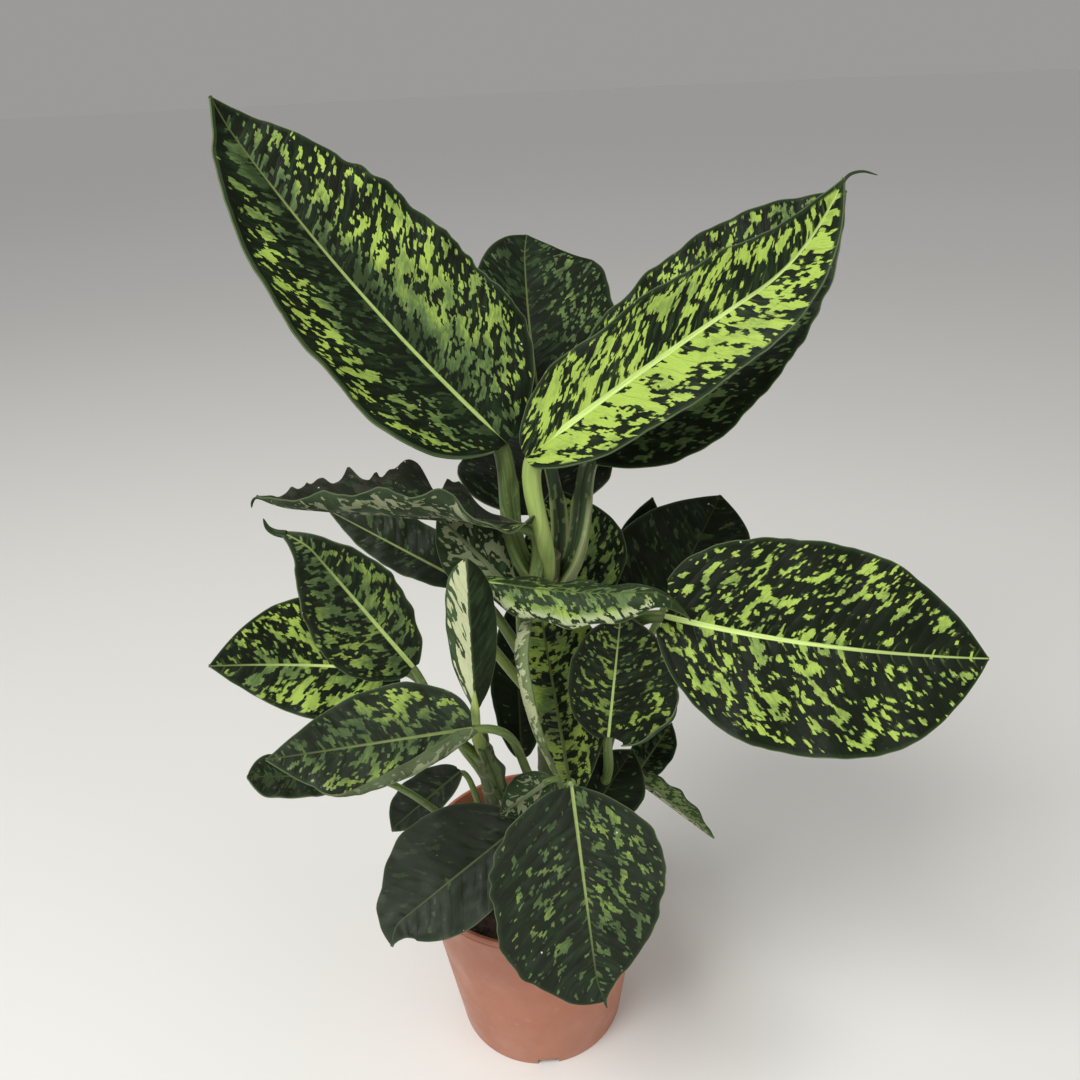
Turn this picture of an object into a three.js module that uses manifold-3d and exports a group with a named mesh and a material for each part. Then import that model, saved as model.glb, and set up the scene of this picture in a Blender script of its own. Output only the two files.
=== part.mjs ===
// A potted dieffenbachia: a plastic nursery pot, potting soil, four canes and 29 leaves.
// Millimetres, +Z up, the origin at the centre of the pot's base, +Y away from the viewer.
import * as THREE from "three";
import { mergeVertices } from "three/addons/utils/BufferGeometryUtils.js";
import Module from "manifold-3d";

const wasm = await Module();
wasm.setup();

// Driving dimensions
const GAP = 0.3; // clearance between pieces that touch
const POT = {
  height: 156,
  rimRadius: 85,
  rimBand: 8,
  rimStep: 1.2,
  footRadius: 64,
  footWidth: 3.2,
  wall: 1.6,
  recess: 3.6,
  padRadius: 25,
  sides: 36,
};
const NOTCH = { count: 4, width: 16, depth: 14, height: 4.2, firstAngle: -87 };
const DRAIN = { count: 6, radius: 4.5, ring: 43, length: 12, sides: 10 };
const SOIL = { top: 142, crown: 3, caneDepth: 62 };
const BLADE = { thickness: 1.0, tipHalfWidth: 0.8, baseStart: 0.012, lobeEnd: 0.4 };
const USUAL = {
  widest: 0.42, rounding: 0.52, taper: 2, side: 1, lobe: 3, fold: 0, curl: 0, arch: 0, bow: 0,
  hook: 0, veer: 0, hookStart: 0.86, twist: 0, wave: 1, waves: 4, ragged: 0,
};
const PETIOLE = { sides: 6, steps: 7, intoBlade: 0.16, endRadius: 1.3, endDepth: 1.0, rootAt: 0.86 };
const CANE = { sides: 10, steps: 9, nodeSwell: 0.07 };
const GRIDS = { large: [12, 6], curled: [11, 8], medium: [9, 6], small: [7, 4] };

const COLOURS = {
  pot: [0.62, 0.23, 0.13],
  soil: [0.07, 0.05, 0.035],
  cane: [0.3, 0.33, 0.16],
  leaf: [0.04, 0.13, 0.04],
};

// Each cane's centre line from the soil to its top, and its radius at the soil and at the top
const CANES = {
  main: { foot: [14, 6, SOIL.top], middle: [17, 2, 264], top: [20, -6, 412], radii: [10, 8] },
  left: { foot: [-18, -8, SOIL.top], middle: [-24, -26, 224], top: [-29, -40, 304], radii: [6.5, 5] },
  right: { foot: [46, 10, SOIL.top], middle: [51, 12, 194], top: [57, 16, 248], radii: [6.5, 5] },
  front: { foot: [17, -30, SOIL.top], middle: [18, -34, 179], top: [20, -40, 218], radii: [6, 5] },
};

// Leaves. base and tip are the ends of the midrib. faces is the way the upper side looks.
// width is the flattened width, side scales one half of it, widest is its place along the midrib,
// and rounding and taper say how blunt the base and the tip are. lobe carries the margin back past
// the petiole. fold lifts the halves from the midrib and curl rolls the margins up further, in
// degrees. A key that ends in L or R is for the left or right half, seen from the base.
// arch and bow bend the midrib, hook and veer bend the drip tip, twist turns the blade along its
// length, and wave is the height of the waves on the margin. grows is the cane, the height of the
// petiole's foot and the side it leaves on, in degrees from +X. petiole is its radius at both ends.
const LEAVES = [
  {
    name: "leaf_top_left", grid: "large", base: [-4, 0, 483], tip: [-149, 40, 665],
    faces: [0.45, -0.75, 0.45], width: 125, widestL: 0.25, widestR: 0.2, taperL: 2.1, taperR: 2.7,
    roundingL: 0.65, roundingR: 0.85, lobeL: 4, lobeR: 11, fold: 14, curlL: 25, bow: -7, hook: 8,
    wave: 2.5, waves: 5, grows: ["main", 393, 190], petiole: [7.5, 5.5],
  },
  {
    name: "leaf_top_right", grid: "large", base: [14, -15, 478], tip: [187, -32, 600],
    faces: [-0.25, -0.75, 0.6], width: 72, widestL: 0.2, widestR: 0.32, taperL: 3.9, taperR: 3,
    roundingL: 0.65, roundingR: 0.55, sideL: 0.9, sideR: 1.06, lobe: 6, fold: 20, bow: -3,
    hookStart: 0.7, hook: 14, veer: -20, twist: -18, wave: 2, waves: 4, grows: ["main", 405, 270],
    petiole: [7, 6.5],
  },
  {
    name: "leaf_top_right_rear", grid: "large", base: [50, 17, 464], tip: [202, 52, 604],
    faces: [-0.2, -0.75, 0.6], width: 106, widestL: 0.25, widestR: 0.32, taperL: 3.1, taperR: 2.6,
    roundingR: 0.7, lobe: 6, fold: 8, wave: 2.5, waves: 6, grows: ["main", 391, 355],
    petiole: [8, 5.5],
  },
  {
    name: "leaf_top_rear", grid: "large", base: [23, 34, 470], tip: [15, 120, 578],
    faces: [0.25, -0.7, 0.65], width: 94, widest: 0.48, taper: 2.5, sideR: 1.18, sideL: 0.76,
    lobe: 6, fold: 12, bow: -3, wave: 2, waves: 4, grows: ["main", 384, 60], petiole: [6, 4],
  },
  {
    name: "leaf_rear_low", grid: "medium", base: [18, 43, 412], tip: [16, 158, 430],
    faces: [0, -0.35, 0.93], width: 112, widest: 0.35, sideR: 0.92, fold: 6, arch: 8, hook: -8,
    wave: 2, waves: 3, grows: ["main", 344, 120], petiole: [5.5, 3.5],
  },
  {
    name: "leaf_left_torn", grid: "curled", base: [10, -18, 435], tip: [-140, -42, 466],
    faces: [0, 0.35, 0.94], width: 74, sideR: 1.15, sideL: 0.85, foldR: 42, foldL: 5, wave: 3,
    waves: 5, ragged: 0.2, hook: 5, grows: ["main", 364, 232], petiole: [5.5, 3.5],
  },
  {
    name: "leaf_left_rear", grid: "medium", base: [-37, 30, 371], tip: [-126, 60, 414],
    faces: [0.1, -0.7, 0.7], width: 46, sideL: 0.7, fold: 8, wave: 1.5, grows: ["main", 304, 150],
    petiole: [5, 3],
  },
  {
    name: "leaf_left_a", grid: "medium", base: [-62, -60, 366], tip: [-110, -80, 467],
    faces: [0.2, -0.8, 0.55], width: 57, widestL: 0.4, widestR: 0.52, taperR: 1.7, rounding: 0.6,
    sideL: 1.15, sideR: 0.85, fold: 10, wave: 1.5, hook: -14, veer: -6, grows: ["left", 282, 200],
    petiole: [4, 2.4],
  },
  {
    name: "leaf_left_b", grid: "medium", base: [-75, -35, 346], tip: [-180, -60, 373],
    faces: [0.1, -0.8, 0.6], width: 74, taperR: 2.2, taperL: 1.6, sideR: 1.15, sideL: 0.88, bow: 2,
    fold: 8, wave: 1.5, grows: ["left", 266, 160], petiole: [4, 2.4],
  },
  {
    name: "leaf_left_c", grid: "medium", base: [-28, -92, 344], tip: [-130, -135, 364],
    faces: [0.1, -0.6, 0.75], width: 56, widestL: 0.68, widestR: 0.35, taperL: 1.6, taperR: 1.8,
    roundingL: 0.9, roundingR: 0.45, sideR: 1.1, sideL: 0.86, fold: 8, wave: 1.5,
    grows: ["main", 209, 235], petiole: [4, 2.6],
  },
  {
    name: "leaf_left_d", grid: "small", base: [-102, -82, 306], tip: [-152, -110, 332],
    faces: [0.1, -0.5, 0.85], width: 26, widest: 0.5, taper: 3, fold: 5, wave: 1,
    grows: ["left", 174, 200], petiole: [3.4, 2],
  },
  {
    name: "leaf_low_left", grid: "small", base: [-48, -18, 248], tip: [-95, -40, 220],
    faces: [-0.2, -0.65, 0.75], width: 31, widest: 0.5, taper: 2.6, sideR: 1.2, sideL: 0.8, fold: 8,
    wave: 1, hook: -5, grows: ["left", 194, 235], petiole: [3.4, 2],
  },
  {
    name: "leaf_rolled", grid: "curled", base: [-26, -74, 344], tip: [-24, -70, 441],
    faces: [0.1, 1, 0], width: 58, sideL: 0.8, lobe: 0, fold: 54, wave: 1,
    grows: ["left", 296, 270], petiole: [4.5, 3],
  },
  {
    name: "leaf_left_inner", grid: "medium", base: [-3, -8, 385], tip: [-44, -16, 443],
    faces: [-0.2, 0.9, -0.2], width: 46, fold: 10, wave: 1.5, grows: ["main", 322, 190],
    petiole: [4.5, 2.6],
  },
  {
    name: "leaf_cross", grid: "curled", base: [-20, -42, 413], tip: [98, -70, 416],
    faces: [0, 0.1, 0.99], width: 43, lobe: 0, foldR: -30, curlR: -60, foldL: 12, arch: -6,
    wave: 1.5, hook: -10, veer: -2, grows: ["main", 296, 205], petiole: [4.5, 2.8],
  },
  {
    name: "leaf_centre_long", grid: "curled", base: [30, -22, 221], tip: [13, -26, 390],
    faces: [0.1, -0.95, 0.2], width: 80, widestL: 0.75, widestR: 0.66, taper: 3, roundingL: 1.5,
    roundingR: 0.8, sideL: 0.95, sideR: 0.88, lobe: 0, fold: 10, curlL: 80, wave: 1.5,
    grows: ["main", 164, 285], petiole: [5.5, 4],
  },
  {
    name: "leaf_behind_stem", grid: "medium", base: [44, 32, 347], tip: [26, 38, 432],
    faces: [0.2, -0.9, 0.4], width: 76, fold: 8, grows: ["main", 256, 60], petiole: [5, 3],
  },
  {
    name: "leaf_right_rear", grid: "medium", base: [105, 57, 330], tip: [146, 87, 399],
    faces: [0, -0.8, 0.6], width: 94, widestL: 0.15, widestR: 0.58, taperL: 1.65, taperR: 1.9,
    sideL: 1.15, sideR: 0.75, fold: 8, grows: ["right", 240, 60], petiole: [4.5, 2.8],
  },
  {
    name: "leaf_right_rear_b", grid: "small", base: [80, 84, 323], tip: [100, 106, 391],
    faces: [0, -0.8, 0.6], width: 38, fold: 8, grows: ["right", 222, 110], petiole: [3.6, 2.2],
  },
  {
    name: "leaf_right_large", grid: "large", base: [87, -45, 383], tip: [256, -98, 379],
    faces: [-0.2, -0.8, 0.55], width: 120, widest: 0.41, taperL: 2.3, taperR: 2.8,
    roundingL: 0.35, roundingR: 0.65, sideR: 1.04, sideL: 0.97, lobe: 5, fold: 6, bow: 5, wave: 2,
    grows: ["main", 266, 5], petiole: [6, 4],
  },
  {
    name: "leaf_centre_right", grid: "medium", base: [54, -38, 290], tip: [62, -42, 385],
    faces: [0, -0.95, 0.3], width: 72, widest: 0.45, taper: 3, sideR: 1.1, sideL: 0.8, fold: 5,
    curlR: 30, wave: 1.5, grows: ["right", 209, 275], petiole: [4.5, 3],
  },
  {
    name: "leaf_low_right_small", grid: "small", base: [78, 32, 190], tip: [108, 42, 234],
    faces: [0, -0.9, 0.4], width: 31, widest: 0.5, taper: 2.6, fold: 5, wave: 1,
    grows: ["right", 172, 20], petiole: [3.4, 2],
  },
  {
    name: "leaf_low_dark", grid: "small", base: [45, -8, 200], tip: [75, 6, 241],
    faces: [0, -0.9, 0.4], width: 52, fold: 5, grows: ["right", 160, 260], petiole: [3.6, 2.2],
  },
  {
    name: "leaf_low_right_edge", grid: "small", base: [76, 14, 211], tip: [130, -22, 181],
    faces: [0.5, 0.3, 0.8], width: 40, fold: 20, wave: 1, grows: ["right", 192, 330],
    petiole: [3.6, 2.2],
  },
  {
    name: "leaf_front", grid: "large", base: [28, -92, 293], tip: [38, -148, 182],
    faces: [0, -0.8, 0.6], width: 103, widestL: 0.32, widestR: 0.42, taperL: 2.2, taperR: 3.8,
    roundingL: 0.85, roundingR: 0.55, sideR: 1.08, sideL: 0.94, lobe: 5, fold: 6, veer: -4,
    wave: 1.5, grows: ["front", 210, 290], petiole: [4.5, 3],
  },
  {
    name: "leaf_front_left", grid: "medium", base: [-7, -72, 249], tip: [-90, -120, 214],
    faces: [-0.2, -0.75, 0.65], width: 74, widest: 0.5, taper: 2.2, sideR: 1.12, sideL: 0.82,
    lobe: 4, fold: 6, wave: 1.5, hook: -8, veer: -8, grows: ["front", 194, 225],
    petiole: [4.2, 2.8],
  },
  {
    name: "leaf_front_inner", grid: "small", base: [14, -62, 276], tip: [-17, -70, 258],
    faces: [0.4, 0.7, -0.3], width: 28, fold: 10, wave: 1, grows: ["front", 178, 250],
    petiole: [3.4, 2],
  },
  {
    name: "leaf_left_withered", grid: "small", base: [-16, -52, 254], tip: [-30, -42, 302],
    faces: [0.6, -0.7, 0.2], width: 17, lobe: 0, fold: 30, wave: 1.5, waves: 3,
    grows: ["left", 156, 290], petiole: [2.8, 1.8],
  },
  {
    name: "leaf_inner_dark", grid: "small", base: [-6, 40, 212], tip: [-4, 50, 345],
    faces: [0, -0.9, 0.35], width: 40, widest: 0.5, fold: 8, grows: ["main", 176, 125],
    petiole: [3.6, 2.4],
  },
];

// Vectors
const vector = (list) => new THREE.Vector3(...list);
const radians = THREE.MathUtils.degToRad;

// A closed mesh as a solid for joining and cutting, and back
function toSolid(geometry) {
  const bare = geometry.clone();
  bare.deleteAttribute("normal");
  bare.deleteAttribute("uv");
  const merged = mergeVertices(bare, 1e-4);
  return new wasm.Manifold(new wasm.Mesh({
    numProp: 3,
    vertProperties: new Float32Array(merged.attributes.position.array),
    triVerts: new Uint32Array(merged.index.array),
  }));
}

function largestBody(solid) {
  const bodies = solid.decompose();
  return bodies.reduce((best, body) => (body.volume() > best.volume() ? body : best));
}

function toGeometry(solid) {
  const mesh = solid.getMesh();
  const geometry = new THREE.BufferGeometry();
  geometry.setAttribute("position", new THREE.BufferAttribute(mesh.vertProperties, 3));
  geometry.setIndex(new THREE.BufferAttribute(mesh.triVerts, 1));
  geometry.computeVertexNormals();
  return geometry;
}

// A round tube along a curve, closed at both ends, whose radius may change on the way
function taperedTube(curve, radiusAt, sides, steps) {
  const geometry = new THREE.CylinderGeometry(1, 1, 1, sides, steps);
  const frames = curve.computeFrenetFrames(steps);
  const spots = geometry.attributes.position;
  for (let i = 0; i < spots.count; i++) {
    const step = Math.round((spots.getY(i) + 0.5) * steps);
    const radius = radiusAt(step / steps);
    const spot = curve.getPointAt(step / steps);
    spot.addScaledVector(frames.normals[step], spots.getX(i) * radius);
    spot.addScaledVector(frames.binormals[step], -spots.getZ(i) * radius);
    spots.setXYZ(i, spot.x, spot.y, spot.z);
  }
  return geometry;
}

// A measure of one half of a leaf, or the one for both halves, or its usual value
function measure(leaf, key, side) {
  return leaf[key + (side > 0 ? "R" : "L")] ?? leaf[key] ?? USUAL[key];
}

// The half width of a blade at u along its midrib, from 0 at the base to 1 at the tip
function outlineAt(leaf, u, side) {
  const widest = measure(leaf, "widest", side);
  if (u < widest) {
    const back = (widest - u) / widest;
    return (1 - back * back) ** measure(leaf, "rounding", side);
  }
  return 1 - ((u - widest) / (1 - widest)) ** measure(leaf, "taper", side);
}

// The blade's own directions: along the midrib, across it to the right, and up from the face
function bladeAxes(leaf) {
  const along = vector(leaf.tip).sub(vector(leaf.base));
  const length = along.length();
  along.normalize();
  const across = new THREE.Vector3().crossVectors(along, vector(leaf.faces)).normalize();
  const up = new THREE.Vector3().crossVectors(across, along);
  return { length, along, across, up };
}

function midribPoint(leaf, axes, u) {
  const { arch, bow, hook, veer, hookStart } = { ...USUAL, ...leaf };
  const rise = 4 * u * (1 - u);
  const end = Math.max(0, (u - hookStart) / (1 - hookStart)) ** 2;
  return vector(leaf.base)
    .addScaledVector(axes.along, axes.length * u)
    .addScaledVector(axes.up, arch * rise + hook * end)
    .addScaledVector(axes.across, bow * rise + veer * end);
}

// One half of a cross-section of the blade: from the midrib out, each step tilts a little more.
// Each point is how far it lies across, up from and behind the middle of the section.
function halfSection(leaf, u, side, count) {
  const { wave, waves, ragged } = { ...USUAL, ...leaf };
  const outline = outlineAt(leaf, u, side);
  const fold = measure(leaf, "fold", side);
  const curl = measure(leaf, "curl", side);
  const reach = Math.max((leaf.width / 2) * outline, BLADE.tipHalfWidth);
  const torn = side > 0 ? ragged * Math.abs(Math.sin(31 * u) * Math.sin(12 * u)) : 0;
  const half = reach * measure(leaf, "side", side) * (1 - torn);
  const crest = wave * outline * Math.sin(2 * Math.PI * (waves * u + (side > 0 ? 0 : 0.37)));
  const behind = measure(leaf, "lobe", side) * Math.max(0, 1 - u / BLADE.lobeEnd) ** 2;
  const points = [];
  let out = 0;
  let lift = 0;
  for (let k = 1; k <= count; k++) {
    const tilt = radians(fold + curl * ((k - 0.5) / count) ** 1.5);
    out += (half / count) * Math.cos(tilt);
    lift += (half / count) * Math.sin(tilt);
    const margin = (k / count) ** 2;
    points.push([side * out, lift + crest * margin, behind * margin]);
  }
  return points;
}

// The blade's middle surface as rows of points from base to tip
function bladeRows(leaf) {
  const [rowCount, columnCount] = GRIDS[leaf.grid];
  const axes = bladeAxes(leaf);
  const rows = [];
  for (let i = 0; i <= rowCount; i++) {
    const even = i / rowCount;
    const eased = 0.5 * even + 0.25 * (1 - Math.cos(Math.PI * even));
    const u = BLADE.baseStart + (1 - BLADE.baseStart) * eased;
    const centre = midribPoint(leaf, axes, u);
    const ahead = midribPoint(leaf, axes, u + 0.01).sub(midribPoint(leaf, axes, u - 0.01)).normalize();
    const turn = radians(leaf.twist ?? USUAL.twist) * (u - 0.35);
    const across = axes.across.clone().multiplyScalar(Math.cos(turn));
    across.addScaledVector(axes.up, Math.sin(turn));
    across.addScaledVector(ahead, -across.dot(ahead)).normalize();
    const up = new THREE.Vector3().crossVectors(across, ahead);
    const section = [
      ...halfSection(leaf, u, -1, columnCount / 2).reverse(),
      [0, 0, 0],
      ...halfSection(leaf, u, 1, columnCount / 2),
    ];
    rows.push(section.map(([out, lift, back]) => centre.clone()
      .addScaledVector(across, out)
      .addScaledVector(up, lift)
      .addScaledVector(ahead, -back)));
  }
  return rows;
}

// A blade of even thickness, with its two faces split into triangles alike
function bladeGeometry(leaf) {
  const rows = bladeRows(leaf);
  const last = rows.length - 1;
  const columns = rows[0].length;
  const upper = [];
  const lower = [];
  const step = (i, j, di, dj) => rows[THREE.MathUtils.clamp(i + di, 0, last)][
    THREE.MathUtils.clamp(j + dj, 0, columns - 1)];
  for (let i = 0; i <= last; i++) {
    for (let j = 0; j < columns; j++) {
      const ahead = step(i, j, 1, 0).clone().sub(step(i, j, -1, 0));
      const across = step(i, j, 0, 1).clone().sub(step(i, j, 0, -1));
      const normal = across.cross(ahead).normalize().multiplyScalar(BLADE.thickness / 2);
      upper.push(rows[i][j].clone().add(normal));
      lower.push(rows[i][j].clone().sub(normal));
    }
  }
  const at = (i, j) => i * columns + j;
  const under = upper.length;
  const triangles = [];
  for (let i = 0; i < last; i++) {
    for (let j = 0; j < columns - 1; j++) {
      const [a, b, c, d] = [at(i, j), at(i, j + 1), at(i + 1, j + 1), at(i + 1, j)];
      triangles.push(a, b, c, a, c, d);
      triangles.push(under + a, under + c, under + b, under + a, under + d, under + c);
    }
  }
  const rim = [];
  for (let j = 0; j < columns - 1; j++) rim.push(at(0, j));
  for (let i = 0; i < last; i++) rim.push(at(i, columns - 1));
  for (let j = columns - 1; j > 0; j--) rim.push(at(last, j));
  for (let i = last; i > 0; i--) rim.push(at(i, 0));
  rim.forEach((p, k) => {
    const q = rim[(k + 1) % rim.length];
    triangles.push(q, p, under + p, q, under + p, under + q);
  });
  const geometry = new THREE.BufferGeometry();
  const numbers = [...upper, ...lower].flatMap((spot) => spot.toArray());
  geometry.setAttribute("position", new THREE.Float32BufferAttribute(numbers, 3));
  geometry.setIndex(triangles);
  return geometry;
}

// Canes
function caneCurve(cane) {
  const buried = vector(cane.foot).setZ(SOIL.top - SOIL.caneDepth);
  return new THREE.CatmullRomCurve3(
    [buried, vector(cane.foot), vector(cane.middle), vector(cane.top)], false, "centripetal");
}

function caneRadius(cane, t) {
  const swell = 1 + CANE.nodeSwell * (Math.round(t * CANE.steps) % 2);
  return THREE.MathUtils.lerp(cane.radii[0], cane.radii[1], t) * swell;
}

function caneSolid(cane, extra) {
  const radiusAt = (t) => caneRadius(cane, t) + extra;
  return toSolid(taperedTube(caneCurve(cane), radiusAt, CANE.sides, CANE.steps));
}

// Where the cane's centre line passes a height, and its direction there
function canePlace(cane, height) {
  const curve = caneCurve(cane);
  let t = 0;
  while (t < 1 && curve.getPointAt(t).z < height) t += 0.005;
  return { spot: curve.getPointAt(Math.min(t, 1)), heading: curve.getTangentAt(Math.min(t, 1)), t };
}

// Petioles
function petioleCurve(leaf) {
  const [caneName, height, side] = leaf.grows;
  const cane = CANES[caneName];
  const { spot, heading, t } = canePlace(cane, height);
  const outward = new THREE.Vector3(Math.cos(radians(side)), Math.sin(radians(side)), 0);
  const foot = spot.addScaledVector(outward, caneRadius(cane, t) + 0.25 * leaf.petiole[0]);
  const axes = bladeAxes(leaf);
  const root = midribPoint(leaf, axes, 0.01).addScaledVector(axes.up, -0.9 * leaf.petiole[1]);
  const inside = midribPoint(leaf, axes, PETIOLE.intoBlade).addScaledVector(axes.up, -PETIOLE.endDepth);
  const reach = foot.distanceTo(root);
  const rising = heading.multiplyScalar(0.85).addScaledVector(outward, 0.5).normalize();
  const bend = new THREE.CubicBezierCurve3(
    foot,
    foot.clone().addScaledVector(rising, 0.45 * reach),
    root.clone().addScaledVector(axes.along, -0.24 * reach),
    root,
  );
  return new THREE.CatmullRomCurve3([...bend.getSpacedPoints(5), inside], false, "centripetal");
}

function petioleSolid(leaf, extra) {
  const [thick, thin] = leaf.petiole;
  const { rootAt, endRadius } = PETIOLE;
  const radiusAt = (t) => extra + (t < rootAt
    ? THREE.MathUtils.lerp(thick, thin, t / rootAt)
    : THREE.MathUtils.lerp(thin, endRadius, (t - rootAt) / (1 - rootAt)));
  return toSolid(taperedTube(petioleCurve(leaf), radiusAt, PETIOLE.sides, PETIOLE.steps));
}

// Pot
function potProfile() {
  const { height, rimRadius, rimBand, rimStep, footRadius, footWidth, wall, recess, padRadius } = POT;
  const shoulder = height - rimBand;
  const inner = footRadius - footWidth;
  const points = [
    [0, 0],
    [padRadius, 0],
    [padRadius + 2.5, recess],
    [inner - 3, recess],
    [inner, 0],
    [footRadius - 0.8, 0],
    [footRadius, 0.8],
    [rimRadius - rimStep - 0.6, shoulder - 1.5],
    [rimRadius - 0.4, shoulder],
    [rimRadius, shoulder + 1.2],
    [rimRadius, height - 0.6],
    [rimRadius - 0.6, height],
    [rimRadius - wall - 0.4, height],
    [rimRadius - wall - rimStep, height - 1],
    [rimRadius - wall - rimStep - 1.2, shoulder - 3],
    [footRadius - wall, recess + wall + 2],
    [footRadius - wall - 2, recess + wall],
    [padRadius + 3.5, recess + wall],
    [padRadius + 1, wall],
    [0, wall],
  ];
  return points.map(([radius, z]) => new THREE.Vector2(radius, z));
}

function lathe(profile) {
  const geometry = new THREE.LatheGeometry(profile, POT.sides);
  return geometry.rotateX(Math.PI / 2);
}

// A tool for cutting: an upright prism moved out from the axis
function placed(geometry, radius, degrees, z) {
  const angle = radians(degrees);
  return geometry.rotateZ(angle).translate(radius * Math.cos(angle), radius * Math.sin(angle), z);
}

function potSolid() {
  let pot = toSolid(lathe(potProfile()));
  for (let k = 0; k < NOTCH.count; k++) {
    const box = new THREE.BoxGeometry(NOTCH.depth, NOTCH.width, 2 * NOTCH.height);
    const degrees = NOTCH.firstAngle + (360 / NOTCH.count) * k;
    pot = pot.subtract(toSolid(placed(box, POT.footRadius, degrees, 0)));
  }
  for (let k = 0; k < DRAIN.count; k++) {
    const { radius, length, sides, ring } = DRAIN;
    const drill = new THREE.CylinderGeometry(radius, radius, length, sides).rotateX(Math.PI / 2);
    pot = pot.subtract(toSolid(placed(drill, ring, (360 / DRAIN.count) * (k + 0.5), 4)));
  }
  return pot;
}

// Soil, which fills the pot to below the rim, with a plain hole for each cane
function soilSolid() {
  const slope = (POT.rimRadius - POT.rimStep - 1.2 - POT.footRadius) / (POT.height - POT.rimBand);
  const wallAt = (z) => POT.footRadius - POT.wall - 2 * GAP + slope * z;
  const floor = POT.recess + POT.wall + GAP;
  const points = [
    [0, floor],
    [wallAt(floor) - 3, floor],
    [wallAt(floor) - 0.6, floor + 3],
    [wallAt(SOIL.top - 3), SOIL.top - 3],
    [wallAt(SOIL.top) - 3, SOIL.top],
    [52, SOIL.top - 2.2],
    [30, SOIL.top + 0.6 * SOIL.crown],
    [0, SOIL.top + SOIL.crown],
  ];
  let soil = toSolid(lathe(points.map(([radius, z]) => new THREE.Vector2(radius, z))));
  for (const cane of Object.values(CANES)) soil = soil.subtract(caneSolid(cane, GAP));
  return soil;
}

// Leaves on their canes: each petiole's foot is hollowed to clasp the cane it grows from, and a
// petiole that starts beside an older one gives way to it
function leafSolids() {
  const canes = Object.values(CANES).map((cane) => caneSolid(cane, GAP));
  const older = [];
  return LEAVES.map((leaf) => {
    let solid = toSolid(bladeGeometry(leaf)).add(petioleSolid(leaf, 0));
    for (const cane of canes) solid = solid.subtract(cane);
    for (const petiole of older) solid = solid.subtract(petiole);
    older.push(petioleSolid(leaf, GAP));
    return [leaf.name, largestBody(solid)];
  });
}

// Assembly
const plant = new THREE.Group();

function addPiece(name, solid, colour, roughness) {
  const material = new THREE.MeshStandardMaterial({ roughness, metalness: 0 });
  material.color.setRGB(...colour);
  const mesh = new THREE.Mesh(toGeometry(solid), material);
  mesh.name = name;
  plant.add(mesh);
}

addPiece("pot", potSolid(), COLOURS.pot, 0.45);
addPiece("soil", soilSolid(), COLOURS.soil, 0.95);
for (const [name, cane] of Object.entries(CANES)) {
  addPiece(`cane_${name}`, caneSolid(cane, 0), COLOURS.cane, 0.6);
}
for (const [name, solid] of leafSolids()) addPiece(name, solid, COLOURS.leaf, 0.35);

export default plant;
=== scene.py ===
"""A potted dieffenbachia: variegated leaves on four canes in a plastic nursery pot."""

import math
import random

import bmesh
import bpy
from bpy.props import FloatProperty, FloatVectorProperty, IntProperty, PointerProperty
from mathutils import Matrix, Vector, noise


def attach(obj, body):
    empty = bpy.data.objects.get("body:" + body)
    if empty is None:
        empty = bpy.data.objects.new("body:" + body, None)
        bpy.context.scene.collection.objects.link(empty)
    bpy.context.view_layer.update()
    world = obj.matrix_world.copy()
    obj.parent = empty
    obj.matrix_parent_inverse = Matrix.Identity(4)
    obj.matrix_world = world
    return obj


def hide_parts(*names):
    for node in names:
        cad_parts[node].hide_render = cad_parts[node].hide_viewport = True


bl_info = {
    "name": "Potted dieffenbachia",
    "version": (1, 0, 0),
    "blender": (4, 5, 0),
    "location": "3D View > Sidebar > Plant",
    "description": "A variegated dieffenbachia in its nursery pot",
    "category": "Add Mesh",
}

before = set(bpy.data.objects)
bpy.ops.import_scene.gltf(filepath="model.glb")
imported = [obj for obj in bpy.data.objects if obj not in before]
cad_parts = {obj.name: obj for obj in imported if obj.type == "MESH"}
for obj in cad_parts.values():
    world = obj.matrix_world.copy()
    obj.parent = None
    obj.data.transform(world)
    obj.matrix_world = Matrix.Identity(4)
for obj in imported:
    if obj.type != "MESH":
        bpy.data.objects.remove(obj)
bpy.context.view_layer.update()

MM = 0.001

# The camera's place in metres, how far it looks down and how far it leans, and its focal length and
# the picture's side in pixels, with the width in millimetres that stands for that side
CAMERA_PLACE = (0.016, -0.508, 0.672)
PITCH, ROLL = math.radians(26.9), math.radians(-2.75)
FOCAL, PICTURE, SENSOR = 920, 1080, 36

# The lights' places and sizes in metres, and the spot that they point at
KEY_LIGHT, FILL_LIGHT = ((-1.0, -1.05, 2.3), 1.5), ((1.7, -1.1, 1.5), 1.6)
LIT_SPOT = Vector((0, 0, 0.35))

# How many sides the pot, the soil, a cane, a stalk and a tail have, and how many steps a curve's
# piece, a cane, the line that stalks grow from, a stalk, a tail, each column of a blade's section
# and a stalk's bend have
POT_SIDES, SOIL_SIDES, CANE_SIDES, STALK_SIDES, TAIL_SIDES = 160, 150, 36, 30, 12
CURVE_STEPS, CANE_STEPS, GROWTH_STEPS, STALK_STEPS, TAIL_STEPS = 24, 130, 200, 56, 18
COLUMN_STEPS, BEND_STEPS = 8, 8

# How far apart blades, stalks and canes lie in the noise, so that no two look alike
BLADE_APART, STALK_APART, CANE_APART = 11.3, 3.1, 5.7

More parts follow.
